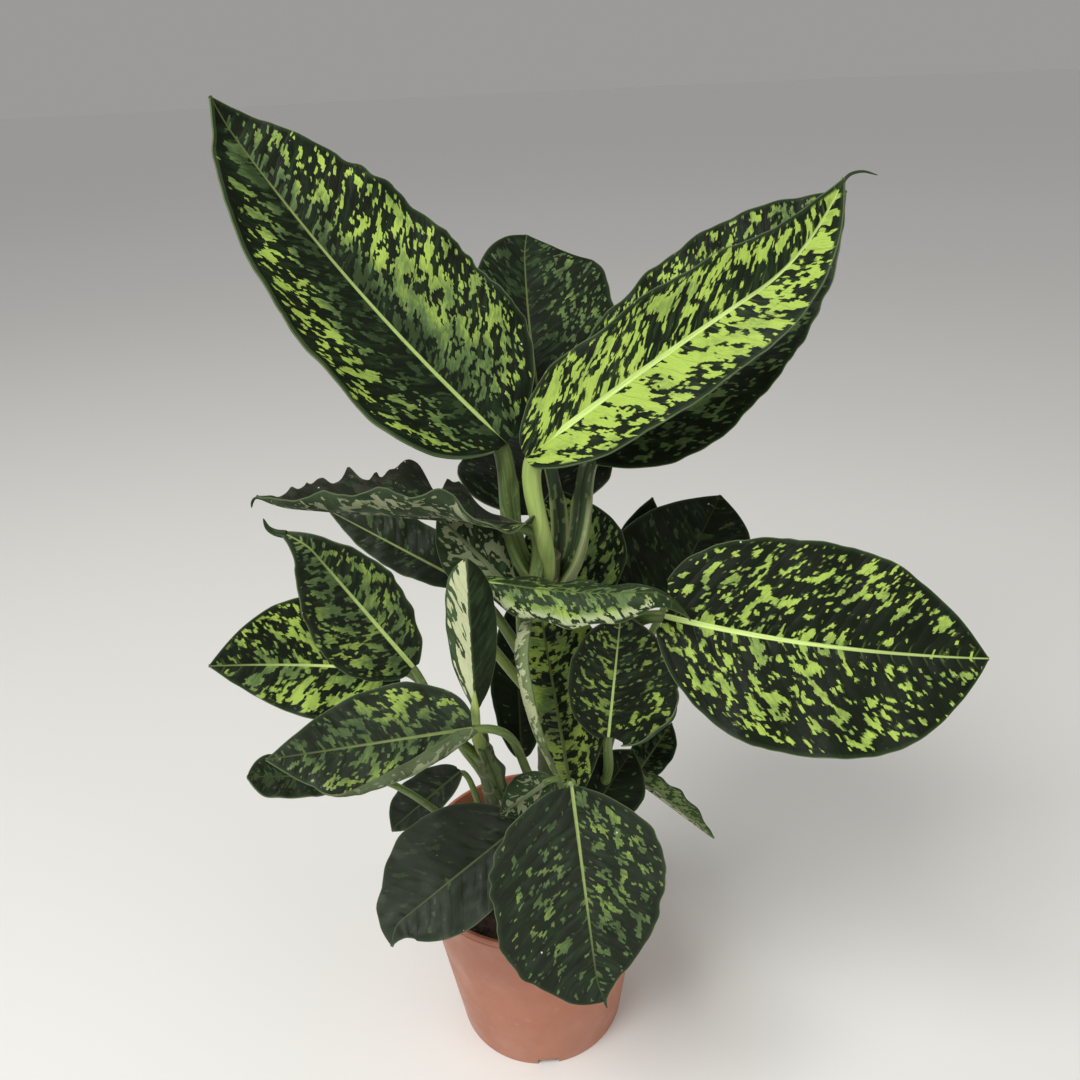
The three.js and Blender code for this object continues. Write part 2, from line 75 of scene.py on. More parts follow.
# A blade in millimetres: how much wider than the blade its marks are measured, the narrowest half,
# how long scallops, crests, the side veins' strays, swells and crinkles are, and how wide and deep
# the midrib's groove is. Then where along the midrib, from 0 to 1, the blade starts, how far the
# left half's crests lag, and how much a side vein bends towards the base
SPREAD, NARROWEST = 1.15, 0.8
SCALLOP_LONG, CREST_LONG, STRAY_LONG, SWELL_LONG, CRINKLE_LONG = 9, 7, 14, 24, 12
GROOVE_WIDE, GROOVE_DEEP = 1.8, 0.45
BLADE_FROM, CREST_LAG, VEIN_BEND = 0.012, 0.37, 0.004

# The soil in millimetres: its level, how deep the canes stand in it, how far out its crown reaches,
# where it dips and how far to each side, and how long its lumps are; and its crumbs' seed
SOIL_TOP, BURIED, CROWN_REACH, DIP, DIP_WIDE, LUMP_LONG = 142, 62, 60, 62, 18, 9
CRUMB_SEED = 11

# Canes in millimetres: the centre line at the soil, half way and at the top, and the end radii
CANES = {
    "main": {"foot": (14, 6, 142), "middle": (17, 2, 264), "top": (20, -6, 412), "radii": (10, 8)},
    "left": {"foot": (-18, -8, 142), "middle": (-24, -26, 224), "top": (-29, -40, 304),
             "radii": (6.5, 5)},
    "right": {"foot": (46, 10, 142), "middle": (51, 12, 194), "top": (57, 16, 248),
              "radii": (6.5, 5)},
    "front": {"foot": (17, -30, 142), "middle": (18, -34, 179), "top": (20, -40, 218),
              "radii": (6, 5)},
}

# What a leaf measures unless it says otherwise. widest is the place of the widest section along the
# midrib, rounding and taper say how blunt base and tip are, side scales a half, lobe carries the
# margin back past the petiole and skirt the middle of the base. fold and curl lift the halves in
# degrees, arch and bow bend the midrib, hook and veer bend the drip tip from hookStart on, twist
# turns the blade, wave lifts the margin in as many crests as waves says, scallop and ragged cut
# into it, pucker and crinkle raise the blade between veins, cup hangs a pouch by the base, sheath
# is how far up the petiole its channel stays wide, slant leans the veins to the tip, and turned
# folds a strip of the margin up over the blade by (width, from, to).
# cover is the share of the blade with marks, glow how bright they are, near what cover gains by the
# midrib and near_glow how bright they are there, dull how much mid-green cloud there is (above 1
# the blade is pale), size scales the marks, rib is the midrib's width in millimetres, rib_tone how
# bright it is, rib_fade how much duller it is at the tip and rib_from where it starts,
# cream how pale the underside and its marks are, 0 standing for painted shade on a half,
# brown how dried the margin is, dust how often a pale speck lies, haze how grey the film
# of dust and painted sheen on the blade is, blotch how little the marks draw out along the side
# veins, edging how cream the marks by the margin are and band how wide the plain margin is, in
# millimetres. A measure that ends in L or R is for the left or right half.
USUAL = {
    "widest": 0.42, "rounding": 0.52, "taper": 2, "side": 1, "lobe": 3, "skirt": 3, "fold": 8,
    "curl": 0, "arch": 0, "bow": 0, "hook": 0, "veer": 0, "hookStart": 0.86, "twist": 0, "wave": 1,
    "waves": 4, "ragged": 0, "scallop": 0.6, "pucker": 0.5, "crinkle": 0.5, "cup": 0, "sheath": 0,
    "slant": 0.55, "turned": (0, 0, 1), "cover": 0.4, "glow": 0.3, "near": 0, "near_glow": 0.4,
    "dull": 0.5, "size": 1, "rib": 1.6, "rib_tone": 0.5, "rib_fade": 0.25, "rib_from": 0,
    "cream": 0.45, "brown": 0, "dust": 0.04, "haze": 0, "blotch": 1, "edging": 0, "band": 0,
}

# The marks' measures that a blade carries as they are
MARK_LAYERS = {
    "look": ("size", "cream", "brown"), "film": ("rib_tone", "dust", "haze"),
    "grain": ("blotch", "edging", "band"),
}


def leaf(cells, base, tip, faces, grows, petiole, width, stalk="green", spots=(), **differs):
    """A leaf in millimetres. cells are its faces along and across, base and tip end the midrib,
    faces is the way the upper side looks, grows is the cane, the height of the petiole's foot and
    the side it leaves on in degrees, and petiole its radius at both ends. spots are soft places,
    each (along, across, reach, cover, glow), where the marks change, tail draws the tip out by
    (length, thickness, way it sets out, way it ends), and what else differs is as in USUAL."""
    return {"cells": cells, "base": Vector(base), "tip": Vector(tip), "faces": Vector(faces),
            "grows": grows, "petiole": petiole, "width": width, "stalk": stalk, "spots": spots,
            **differs}


LEAVES = {
    "leaf_top_left": leaf(
        (120, 56), (-4, 0, 483), (-149, 40, 665), (0.45, -0.75, 0.45), ("main", 393, 190),
        (7.5, 5.5), 125, widestL=0.25, widestR=0.2, roundingL=0.65, roundingR=0.85, taperL=2.5,
        taperR=2.9, lobeL=4, lobeR=11, skirt=9, fold=14, curlL=25, bow=-7, hook=8, veer=-1,
        hookStart=0.9, wave=2.5, waves=5, scallopR=2.2, pucker=0.7, sheath=0.62, coverL=0.32,
        coverR=0.31, glow=0.76, near_glow=0.2, dull=0.55, sizeL=1.45, rib=2.3, rib_tone=0.7,
        rib_fade=0.7, rib_from=0.05, haze=0.02, blotchL=1.6, bandL=3.5,
        spots=((0.16, 0.45, 0.28, 0.06, -0.15), (0.45, -0.2, 0.25, -0.08, -0.4),
        (0.72, 0.55, 0.3, -0.05, 0.2), (0.36, 0.3, 0.27, 0.19, -0.04), (0.5, -0.8, 0.3, 0, 0.3),
        (0.2, -0.3, 0.3, -0.08, -0.3))),
    "leaf_top_right": leaf(
        (120, 52), (14, -15, 478), (187, -32, 600), (-0.25, -0.75, 0.6), ("main", 405, 270),
        (4.8, 6.2), 72, stalk="pale", widestL=0.2, widestR=0.32, roundingL=0.65, roundingR=0.55,
        taperL=3.9, taperR=3, sideL=0.9, sideR=1.06, lobe=6, skirt=9, fold=20, bow=-3, hook=14,
        veer=-20, hookStart=0.7, twist=-18, wave=2, slantL=1.15, slantR=0.6, coverR=0.44,
        glow=0.92, near_glow=1, dull=0.7, sizeR=1.05, rib=4, rib_tone=1, rib_fade=0.1,
        rib_from=0.09, haze=0.04, blotchL=1.4, blotchR=0.85,
        tail=(15, 1, (0.6, -0.1, 0.7), (1, -0.2, -0.35)), spots=((0.3, 0.25, 0.28, 0.2, 0),
        (0.5, 0.25, 0.25, 0.14, 0), (0.6, -0.25, 0.25, -0.3, 0), (0.85, -0.2, 0.2, -0.2, 0),
        (0.3, -0.45, 0.25, -0.06, 0), (0.25, -0.8, 0.2, 0.1, 0), (0.65, -0.75, 0.3, 0.1, -0.1))),
    # Its marks are dim, with a brighter spot on its left half, as painted shade where the shadow of
    # leaf_top_right falls on it
    "leaf_top_right_rear": leaf(
        (110, 48), (50, 17, 464), (202, 52, 604), (-0.2, -0.75, 0.6), ("main", 391, 355), (8, 5.5),
        106, stalk="sheath", widestL=0.25, widestR=0.32, roundingR=0.7, taperL=3.1, taperR=2.6,
        lobe=6, wave=2.5, waves=6, scallop=1.5, sheath=0.6, cover=0.26, near_glow=0.05, dull=0.4,
        rib=2, rib_tone=0.15, blotch=1.4, spots=((0.6, -0.8, 0.5, 0.12, 0.6),)),
    "leaf_top_rear": leaf(
        (90, 44), (23, 34, 470), (15, 120, 578), (0.25, -0.7, 0.65), ("main", 384, 60), (6, 4), 94,
        stalk="sheath", widest=0.48, taper=5, sideL=0.76, sideR=1.18, lobe=6, fold=12, bow=-3,
        veer=2, wave=2, sheath=0.6, cover=0.16, near_glow=0, dull=0.8, rib_tone=0.28, haze=0.06,
        blotch=1.4, spots=((0.7, 0.6, 0.35, 0.12, 0.1),)),
    "leaf_rear_low": leaf(
        (80, 40), (18, 43, 412), (16, 158, 430), (0, -0.35, 0.93), ("main", 344, 120), (5.5, 3.5),
        112, widest=0.35, sideR=0.92, fold=6, arch=8, hook=-8, wave=2, waves=3, cover=0.02,
        glow=0.1, near_glow=0, dull=0.3, rib_tone=0.1),
    "leaf_left_torn": leaf(
        (130, 44), (10, -18, 435), (-140, -42, 466), (0, 0.35, 0.94), ("main", 364, 232),
        (5.5, 3.5), 74, roundingL=0.4, roundingR=2.5, sideL=0.85, sideR=1.15, foldL=5, foldR=42,
        curlL=60, hook=5, wave=3, waves=5, ragged=0.42, scallop=1.5, crinkle=1.5, cup=13,
        coverL=0.2, coverR=0.05, glowL=0.4, glowR=0.15, near_glow=0.1, dull=0.3, rib=1.8,
        rib_tone=0.16, creamL=0.5, creamR=0.6, brownR=1, dustL=0.14, dustR=0.25, haze=0.2,
        blotch=1.6, tail=(7, 1.4, (-1, -0.1, -0.2), (-0.2, -0.1, -1)),
        spots=((0.14, -0.6, 0.22, 0.15, 0.3), (0.4, -0.85, 0.3, 0.1, 0.25),
        (0.7, -0.85, 0.3, 0.1, 0.25))),
    "leaf_left_rear": leaf(
        (70, 32), (-37, 30, 371), (-126, 60, 414), (0.1, -0.7, 0.7), ("main", 304, 150), (5, 3),
        46, sideL=0.7, wave=1.5, pucker=1.4, crinkle=2.4, cover=0.1, glow=0.1, near_glow=0.1,
        dull=0.3, rib=1.5, rib_tone=0.56, haze=0.24),
    "leaf_left_a": leaf(
        (80, 36), (-62, -60, 366), (-110, -80, 467), (0.2, -0.8, 0.55), ("left", 282, 200),
        (4, 2.4), 57, widestL=0.4, widestR=0.52, rounding=0.6, taperR=1.7, sideL=1.15, sideR=0.85,
        fold=10, hook=-14, veer=-6, wave=1.5, scallop=1.2, pucker=0.9, cover=0.38, glow=0.68,
        near_glow=0.45, dull=0.6, size=1.1, rib=2.2, rib_tone=0.95, rib_fade=0.55, haze=0.1,
        blotch=1.6, tail=(11, 2.2, (-1, -0.1, 0.1), (-0.15, 0, 1))),
    "leaf_left_b": leaf(
        (80, 36), (-75, -35, 346), (-180, -60, 373), (0.1, -0.8, 0.6), ("left", 266, 160),
        (4, 2.4), 74, taperL=1.6, taperR=2.2, sideL=0.88, sideR=1.15, bow=2, wave=1.5, cover=0.35,
        glow=0.95, near_glow=0.6, dull=0.2, size=1.15, rib=1.8, rib_tone=1.1, rib_fade=0.7,
        haze=0.05, blotch=1.6),
    "leaf_left_c": leaf(
        (80, 48), (-28, -92, 344), (-130, -135, 364), (0.1, -0.6, 0.75), ("main", 209, 235),
        (4, 2.6), 56, widestL=0.68, widestR=0.35, roundingL=0.9, roundingR=0.45, taperL=1.6,
        taperR=1.8, sideL=0.86, sideR=1.1, wave=1.5, pucker=1.3, turnedL=(13, -0.5, 0.8),
        cover=0.29, glow=0.88, near_glow=0.3, dull=0.6, size=0.88, rib_tone=0.4, rib_fade=0.6,
        creamL=0.3, haze=0.28, blotch=1.7, edgingL=0.25),
    "leaf_left_d": leaf(
        (48, 24), (-102, -82, 306), (-152, -110, 332), (0.1, -0.5, 0.85), ("left", 174, 200),
        (3.4, 2), 26, widest=0.5, taper=6.5, fold=5, cover=0.35, near_glow=0.2, size=0.6, rib=1.4,
        rib_tone=0.15, haze=0.2, blotch=1.5),
    "leaf_low_left": leaf(
        (48, 24), (-48, -18, 248), (-95, -40, 220), (-0.2, -0.65, 0.75), ("left", 194, 235),
        (3.4, 2), 31, widest=0.5, taper=2.6, sideL=0.8, sideR=1.2, hook=-5, cover=0.12, glow=0.1,
        near_glow=0.1, dull=0.4, rib=1.3, rib_tone=0.12, haze=0.2),
    # The left half, with a cream measure of 0 and no marks, is darkened as painted shade, being
    # turned away from the light
    "leaf_rolled": leaf(
        (80, 40), (-26, -74, 344), (-24, -70, 441), (0.1, 1, 0), ("left", 296, 270), (4.5, 3), 58,
        stalk="pale", taper=3, sideL=0.8, lobe=0, foldL=62, foldR=52, coverL=-0.1, coverR=0.5,
        glow=0.6, nearL=-0.2, nearR=0.34, dullL=0.3, size=1.45, rib=-1, creamL=0, creamR=1,
        blotch=0.65),
    "leaf_left_inner": leaf(
        (64, 32), (-3, -8, 385), (-44, -16, 443), (-0.2, 0.9, -0.2), ("main", 322, 190),
        (4.5, 2.6), 46, fold=10, wave=1.5, cover=0.34, near_glow=0.3, size=1.3, rib=2.4,
        cream=0.36, blotch=1.7),
    "leaf_cross": leaf(
        (96, 40), (-20, -42, 413), (98, -70, 416), (0, 0.1, 0.99), ("main", 296, 205), (4.5, 2.8),
        43, stalk="pale", lobe=0, foldL=-8, foldR=-36, curlR=-75, arch=-6, hook=-21, veer=-2,
        hookStart=0.8, wave=1.5, cover=0.29, glow=0.42, near_glow=0.5, dull=1.35, size=0.9,
        rib=1.2, rib_tone=0.2, cream=0.7, dust=0.08, blotch=1.6, edgingR=0.9,
        spots=((0.3, 0.9, 0.3, 0.4, 0.3), (0.65, 0.9, 0.3, 0.4, 0.3))),
    "leaf_centre_long": leaf(
        (110, 48), (30, -22, 221), (13, -26, 390), (0.1, -0.95, 0.2), ("main", 164, 285), (5.5, 4),
        80, stalk="pale", widestL=0.75, widestR=0.66, roundingL=1.15, roundingR=0.8, taper=3,
        sideL=1.12, sideR=0.88, lobe=0, fold=10, curlL=142, wave=1.5, coverL=0.5, glow=0.85,
        near_glow=0.7, dull=0.6, sizeR=1.5, rib=2.4, rib_tone=0.3, creamL=1, creamR=0.9, haze=0.04,
        blotchL=1.2, blotchR=2.4, edgingL=0.55),
    "leaf_behind_stem": leaf(
        (64, 36), (44, 32, 347), (26, 38, 432), (0.2, -0.9, 0.4), ("main", 256, 60), (5, 3), 76,
        glow=0.6, near_glow=0.55, dull=0.4, size=1.2, rib=2, rib_tone=0.35, blotch=1.5),
    # Plain dark, with almost no marks and a dark midrib, as painted shade: this leaf lies in shadow
    # behind the others
    "leaf_right_rear": leaf(
        (64, 36), (105, 57, 330), (146, 87, 399), (0, -0.8, 0.6), ("right", 240, 60), (4.5, 2.8),
        94, widestL=0.15, widestR=0.58, taperL=2.4, taperR=3, sideL=1.15, sideR=0.75, cover=0.1,
        glow=0.05, near_glow=0, dull=0.45, rib=1, rib_tone=0.08, haze=0.06),
    "leaf_right_rear_b": leaf(
        (48, 28), (80, 84, 323), (100, 106, 391), (0, -0.8, 0.6), ("right", 222, 110), (3.6, 2.2),
        38, cover=0.1, glow=0.05, near_glow=0, dull=0.45, rib=1, rib_tone=0.08),
    "leaf_right_large": leaf(
        (120, 60), (87, -45, 383), (256, -98, 379), (-0.2, -0.8, 0.55), ("main", 266, 5), (6, 4),
        120, widest=0.41, roundingL=0.35, roundingR=0.65, taperL=2.9, taperR=3.3, sideL=0.97,
        sideR=1.04, lobe=5, skirt=2, fold=6, bow=5, wave=2, scallop=1.2, pucker=0.7, slant=0.42,
        cover=0.2, glow=0.82, near_glow=0.8, dull=0.05, size=0.92, rib=3, rib_tone=1, rib_fade=0.3,
        blotch=1.1, spots=((0.8, -0.25, 0.2, -0.15, 0), (0.75, 0.15, 0.2, -0.15, 0),
        (0.35, 0.6, 0.25, 0.08, 0), (0.55, -0.35, 0.2, -0.08, 0))),
    "leaf_centre_right": leaf(
        (72, 36), (54, -38, 290), (62, -42, 385), (0, -0.95, 0.3), ("right", 209, 275), (4.5, 3),
        72, widest=0.45, taper=3, sideL=0.8, sideR=1.1, fold=5, curlR=30, wave=1.5, pucker=0.9,
        turnedR=(7, -0.2, 0.5), cover=0.18, glow=0.7, near_glow=0.6, dull=0.6, size=0.95, rib=1.5,
        rib_tone=1, rib_fade=0.4, creamR=0.55, haze=0.08, blotch=1.3),
    "leaf_low_right_small": leaf(
        (48, 24), (78, 32, 190), (108, 42, 234), (0, -0.9, 0.4), ("right", 172, 20), (3.4, 2), 31,
        widest=0.5, taper=2.6, fold=5, cover=0.3, near_glow=0.2, dull=0.4, size=0.6, rib=1.3,
        rib_tone=0.2),
    # Plain dark, without marks and with a dark midrib, as painted shade: this leaf hangs in deep
    # shade
    "leaf_low_dark": leaf(
        (48, 28), (45, -8, 200), (75, 6, 241), (0, -0.9, 0.4), ("right", 160, 260), (3.6, 2.2), 52,
        fold=5, cover=-0.05, glow=0.05, dull=0.2, rib=1, rib_tone=0.08),
    "leaf_low_right_edge": leaf(
        (56, 28), (76, 14, 211), (130, -22, 181), (0.5, 0.3, 0.8), ("right", 192, 330), (3.6, 2.2),
        40, fold=20, cover=0.5, glow=0.4, dull=1.7, size=0.8, rib_tone=0.2, cream=0.8, blotch=1.5),
    "leaf_front": leaf(
        (110, 52), (28, -92, 293), (38, -148, 182), (0, -0.8, 0.6), ("front", 210, 290), (4.5, 3),
        103, widestL=0.32, roundingL=0.85, roundingR=0.55, taperL=2.2, taperR=3.8, sideL=0.94,
        sideR=1.08, lobe=5, skirt=6, fold=6, veer=-4, wave=1.5, scallopL=2, scallopR=4, pucker=1.6,
        crinkle=0.9, coverL=0.17, coverR=0.08, glow=0.4, near_glow=0.35, sizeL=0.88, rib=1.7,
        rib_tone=0.6, rib_fade=0.8, dust=0.1, haze=0.24, blotch=1.5,
        tail=(6, 1.2, (0, 0, -1), (0.3, 0, -1)), spots=((0.12, -0.4, 0.26, 0.16, 0.25),
        (0.42, 0.45, 0.25, 0.12, 0.05), (0.5, -0.25, 0.2, 0.14, 0.12), (0.8, 0.1, 0.3, 0.06, 0),
        (0.35, -0.8, 0.25, 0.04, 0.1), (0.15, 0.5, 0.25, -0.02, -0.2))),
    "leaf_front_left": leaf(
        (80, 40), (-7, -72, 249), (-90, -120, 214), (-0.2, -0.75, 0.65), ("front", 194, 225),
        (4.2, 2.8), 74, widest=0.5, taper=2.2, sideL=0.82, sideR=1.12, lobe=4, fold=6, hook=-8,
        veer=-8, wave=1.5, pucker=1.1, crinkle=1.8, cover=0, glow=0.05, near_glow=0.05, dull=0.2,
        rib=1, rib_tone=0.22, dust=0.2, haze=0.5),
    "leaf_front_inner": leaf(
        (44, 24), (14, -62, 276), (-17, -70, 258), (0.4, 0.7, -0.3), ("front", 178, 250), (3.4, 2),
        28, fold=10, cover=0.35, size=0.8, cream=0.28, blotch=1.5),
    "leaf_left_withered": leaf(
        (44, 20), (-16, -52, 254), (-30, -42, 302), (0.6, -0.7, 0.2), ("left", 156, 290),
        (2.8, 1.8), 15, stalk="pale", lobe=0, fold=30, wave=2.5, waves=3, crinkle=1.5, cover=0.8,
        glow=0.55, dull=2, size=1.4, rib=1.4, rib_tone=0.3, cream=0.8, dust=0.1, haze=0.5,
        blotch=1.5),
    # Plain dark, without marks and with a dark midrib, as painted shade: this leaf stands behind
    # the centre in deep shade
    "leaf_inner_dark": leaf(
        (64, 28), (-6, 40, 212), (-4, 50, 345), (0, -0.9, 0.35), ("main", 176, 125), (3.6, 2.4),
        40, widest=0.5, cover=-0.05, glow=0.05, near_glow=0, dull=0.2, rib=1, rib_tone=0.06),
}

# Sizes and colours a user would change

def length_setting(name, description, default, **limits):
    return FloatProperty(
        name=name, description=description, default=default, unit="LENGTH", **limits)


def colour_setting(name, description, default):
    return FloatVectorProperty(name=name, description=description, default=default,
                               size=3, min=0, max=1, subtype="COLOR")


class PotSizes(bpy.types.PropertyGroup):
    height: length_setting("Height", "Height of the pot", 0.156, min=0.05)
    rim_radius: length_setting("Rim radius", "Outer radius of the rim", 0.085)
    foot_radius: length_setting("Foot radius", "Outer radius at the table", 0.064)
    rim_band: length_setting("Rim band", "Height of the thicker band at the rim", 0.008)
    wall: length_setting("Wall", "Thickness of the wall", 0.0016)
    colour: colour_setting("Plastic", "Colour of the pot", (0.46, 0.16, 0.085))


class SoilSizes(bpy.types.PropertyGroup):
    top: length_setting("Level", "Height of the soil at the pot's wall", SOIL_TOP * MM)
    crown: length_setting("Crown", "How much higher the soil is in the middle", 0.003)
    crumbs: IntProperty(name="Crumbs", description="Loose crumbs on the soil", default=260, min=0)
    colour: colour_setting("Soil", "Colour of the damp soil", (0.05, 0.03, 0.02))


class LeafSizes(bpy.types.PropertyGroup):
    thickness: length_setting("Thickness", "Thickness of a blade", 0.0009)
    vein_gap: length_setting(
        "Vein spacing", "Distance between the main side veins along the midrib", 0.0085)
    ground: colour_setting("Ground", "Dark green of the blade", (0.0062, 0.0098, 0.0042))
    faded: colour_setting(
        "Faded marks", "Mid green of the marks that are less bright", (0.1, 0.162, 0.054))
    cloud: colour_setting("Clouds", "Mid green of the duller patches", (0.026, 0.052, 0.019))
    mark: colour_setting("Marks", "Yellow-green of the bright marks", (0.4, 0.55, 0.098))
    rib: colour_setting("Midrib", "Pale green of the midrib", (0.6, 0.77, 0.25))
    underside: colour_setting("Underside", "Grey green of a blade's underside", (0.07, 0.115, 0.05))


class CaneSizes(bpy.types.PropertyGroup):
    ring_gap: length_setting("Ring spacing", "Distance between the leaf scars on a cane", 0.016)
    bark: colour_setting("Bark", "Brown green of the canes", (0.075, 0.075, 0.035))
    stalk: colour_setting("Stalks", "Light green of the petioles", (0.17, 0.25, 0.065))


class StageLight(bpy.types.PropertyGroup):
    key_power: FloatProperty(
        name="Key light", description="Power of the large soft light", default=57, unit="POWER")
    fill_power: FloatProperty(
        name="Fill light", description="Power of the light on the right", default=9, unit="POWER")
    sky: FloatProperty(name="Surround", description="Strength of the light all round", default=0.33)
    floor: colour_setting("Floor", "Colour of the floor", (0.85, 0.845, 0.81))


# Materials

class Wire:
    """What comes out of a material's node. Sums with it are written as sums."""

    def __init__(self, made, socket):
        self.made, self.socket = made, socket

    def __add__(self, other):
        return self.made.math("ADD", self, other)

    def __sub__(self, other):
        return self.made.math("SUBTRACT", self, other)

    def __rsub__(self, other):
        return self.made.math("SUBTRACT", other, self)

    def __mul__(self, other):
        return self.made.math("MULTIPLY", self, other)

    def __truediv__(self, other):
        return self.made.math("DIVIDE", self, other)

    def between(self, low, high, start=0, end=1):
        """This number brought smoothly from low..high to start..end."""
        return self.made.node("MapRange", dict(enumerate((self, low, high, start, end))),
                              interpolation_type="SMOOTHSTEP")

    def beside(self, output):
        """Another output of the same node."""
        return Wire(self.made, self.socket.node.outputs[output])


class Finish:
    """A material under construction, with a short call for each node it needs. colour is what is
    painted so far, and own the number of the piece, which its noise starts from."""

    def __init__(self, name, roughness, specular):
        self.material = bpy.data.materials.new(name)
        self.material.use_nodes = True
        self.nodes = self.material.node_tree.nodes
        self.shader = self.nodes["Principled BSDF"]
        self.shader.inputs["Roughness"].default_value = roughness
        self.shader.inputs["Specular IOR Level"].default_value = specular
        self.place = self.node("TexCoord", {}, "Object")
        self.colour = self.own = None

    def feed(self, socket, value):
        if isinstance(value, Wire):
            self.material.node_tree.links.new(value.socket, socket)
        elif isinstance(value, tuple):
            socket.default_value = (*value, 1)
        else:
            socket.default_value = value

    def node(self, kind, feeds, output=0, **settings):
        node = self.nodes.new("ShaderNode" + kind)
        for setting, value in settings.items():
            setattr(node, setting, value)
        for socket, value in feeds.items():
            self.feed(node.inputs[socket], value)
        return Wire(self, node.outputs[output])

    def math(self, operation, first, second=0, clamp=False):
        return self.node("Math", {0: first, 1: second}, operation=operation, use_clamp=clamp)

    def vector(self, x, y, z=0):
        return self.node("CombineXYZ", {0: x, 1: y, 2: z})

    def mix(self, share, first, second, blend_type="MIX"):
        return self.node("Mix", {"Factor": share, 6: first, 7: second}, 2,
                         data_type="RGBA", blend_type=blend_type)

    def shade(self, colour, amount):
        grey = self.node("CombineColor", dict.fromkeys(range(3), amount))
        return self.mix(1, colour, grey, "MULTIPLY")

    def paint(self, share, colour):
        """A share of colour laid over what is painted so far."""
        self.colour = self.mix(share, self.colour, colour)

    def darken(self, amount):
        self.colour = self.shade(self.colour, amount)

    def noise(self, scale, detail=2, roughness=0.5, distortion=0, place=None):
        """Noise over the piece's space, or over another place."""
        return self.node("TexNoise", {"Vector": place or self.place, "Scale": scale,
                                      "Detail": detail, "Roughness": roughness,
                                      "Distortion": distortion}, "Fac")

    def grown(self, along, out, shift=0, detail=2, roughness=0.5):
        """Noise that follows the piece's own length and width, and differs from piece to piece."""
        own = self.own + shift if shift else self.own
        return self.noise(1, detail, roughness, place=self.vector(along, out, own))

    def chance(self, x, y):
        """A number from 0 to 1 that is the same all over each whole step of x and y."""
        place = {"Vector": self.vector(x, y)}
        return self.node("TexWhiteNoise", place, "Value", noise_dimensions="2D")

    def specks(self, scale, radius, share):
        """Small round specks, in a share of the cells of a scatter."""
        away = self.node("TexVoronoi", {"Vector": self.place, "Scale": scale}, "Distance")
        chance = self.node("SeparateColor", {0: away.beside("Color")})
        chosen = self.math("LESS_THAN", chance, share)
        return chosen * self.math("LESS_THAN", away, chance.beside(1) * radius)

    def measured(self, name):
        """The three numbers that the mesh carries under this name."""
        carried = self.node("Attribute", {}, "Vector", attribute_name=name)
        first = self.node("SeparateXYZ", {0: carried})
        return first, first.beside(1), first.beside(2)

    def relief(self, height, distance, strength):
        return self.node("Bump", {"Strength": strength, "Distance": distance, "Height": height})

    def finish(self, roughness=None, relief=None):
        self.feed(self.shader.inputs["Base Color"], self.colour)
        if roughness:
            self.feed(self.shader.inputs["Roughness"], roughness)
        if relief:
            self.feed(self.shader.inputs["Normal"], relief)
        return self.material


def tint(colour, amount=1):
    return tuple(min(1, part * amount) for part in colour)


def blend(share, first, second):
    """A number part of the way from first to second."""
    return (second - first) * share + first


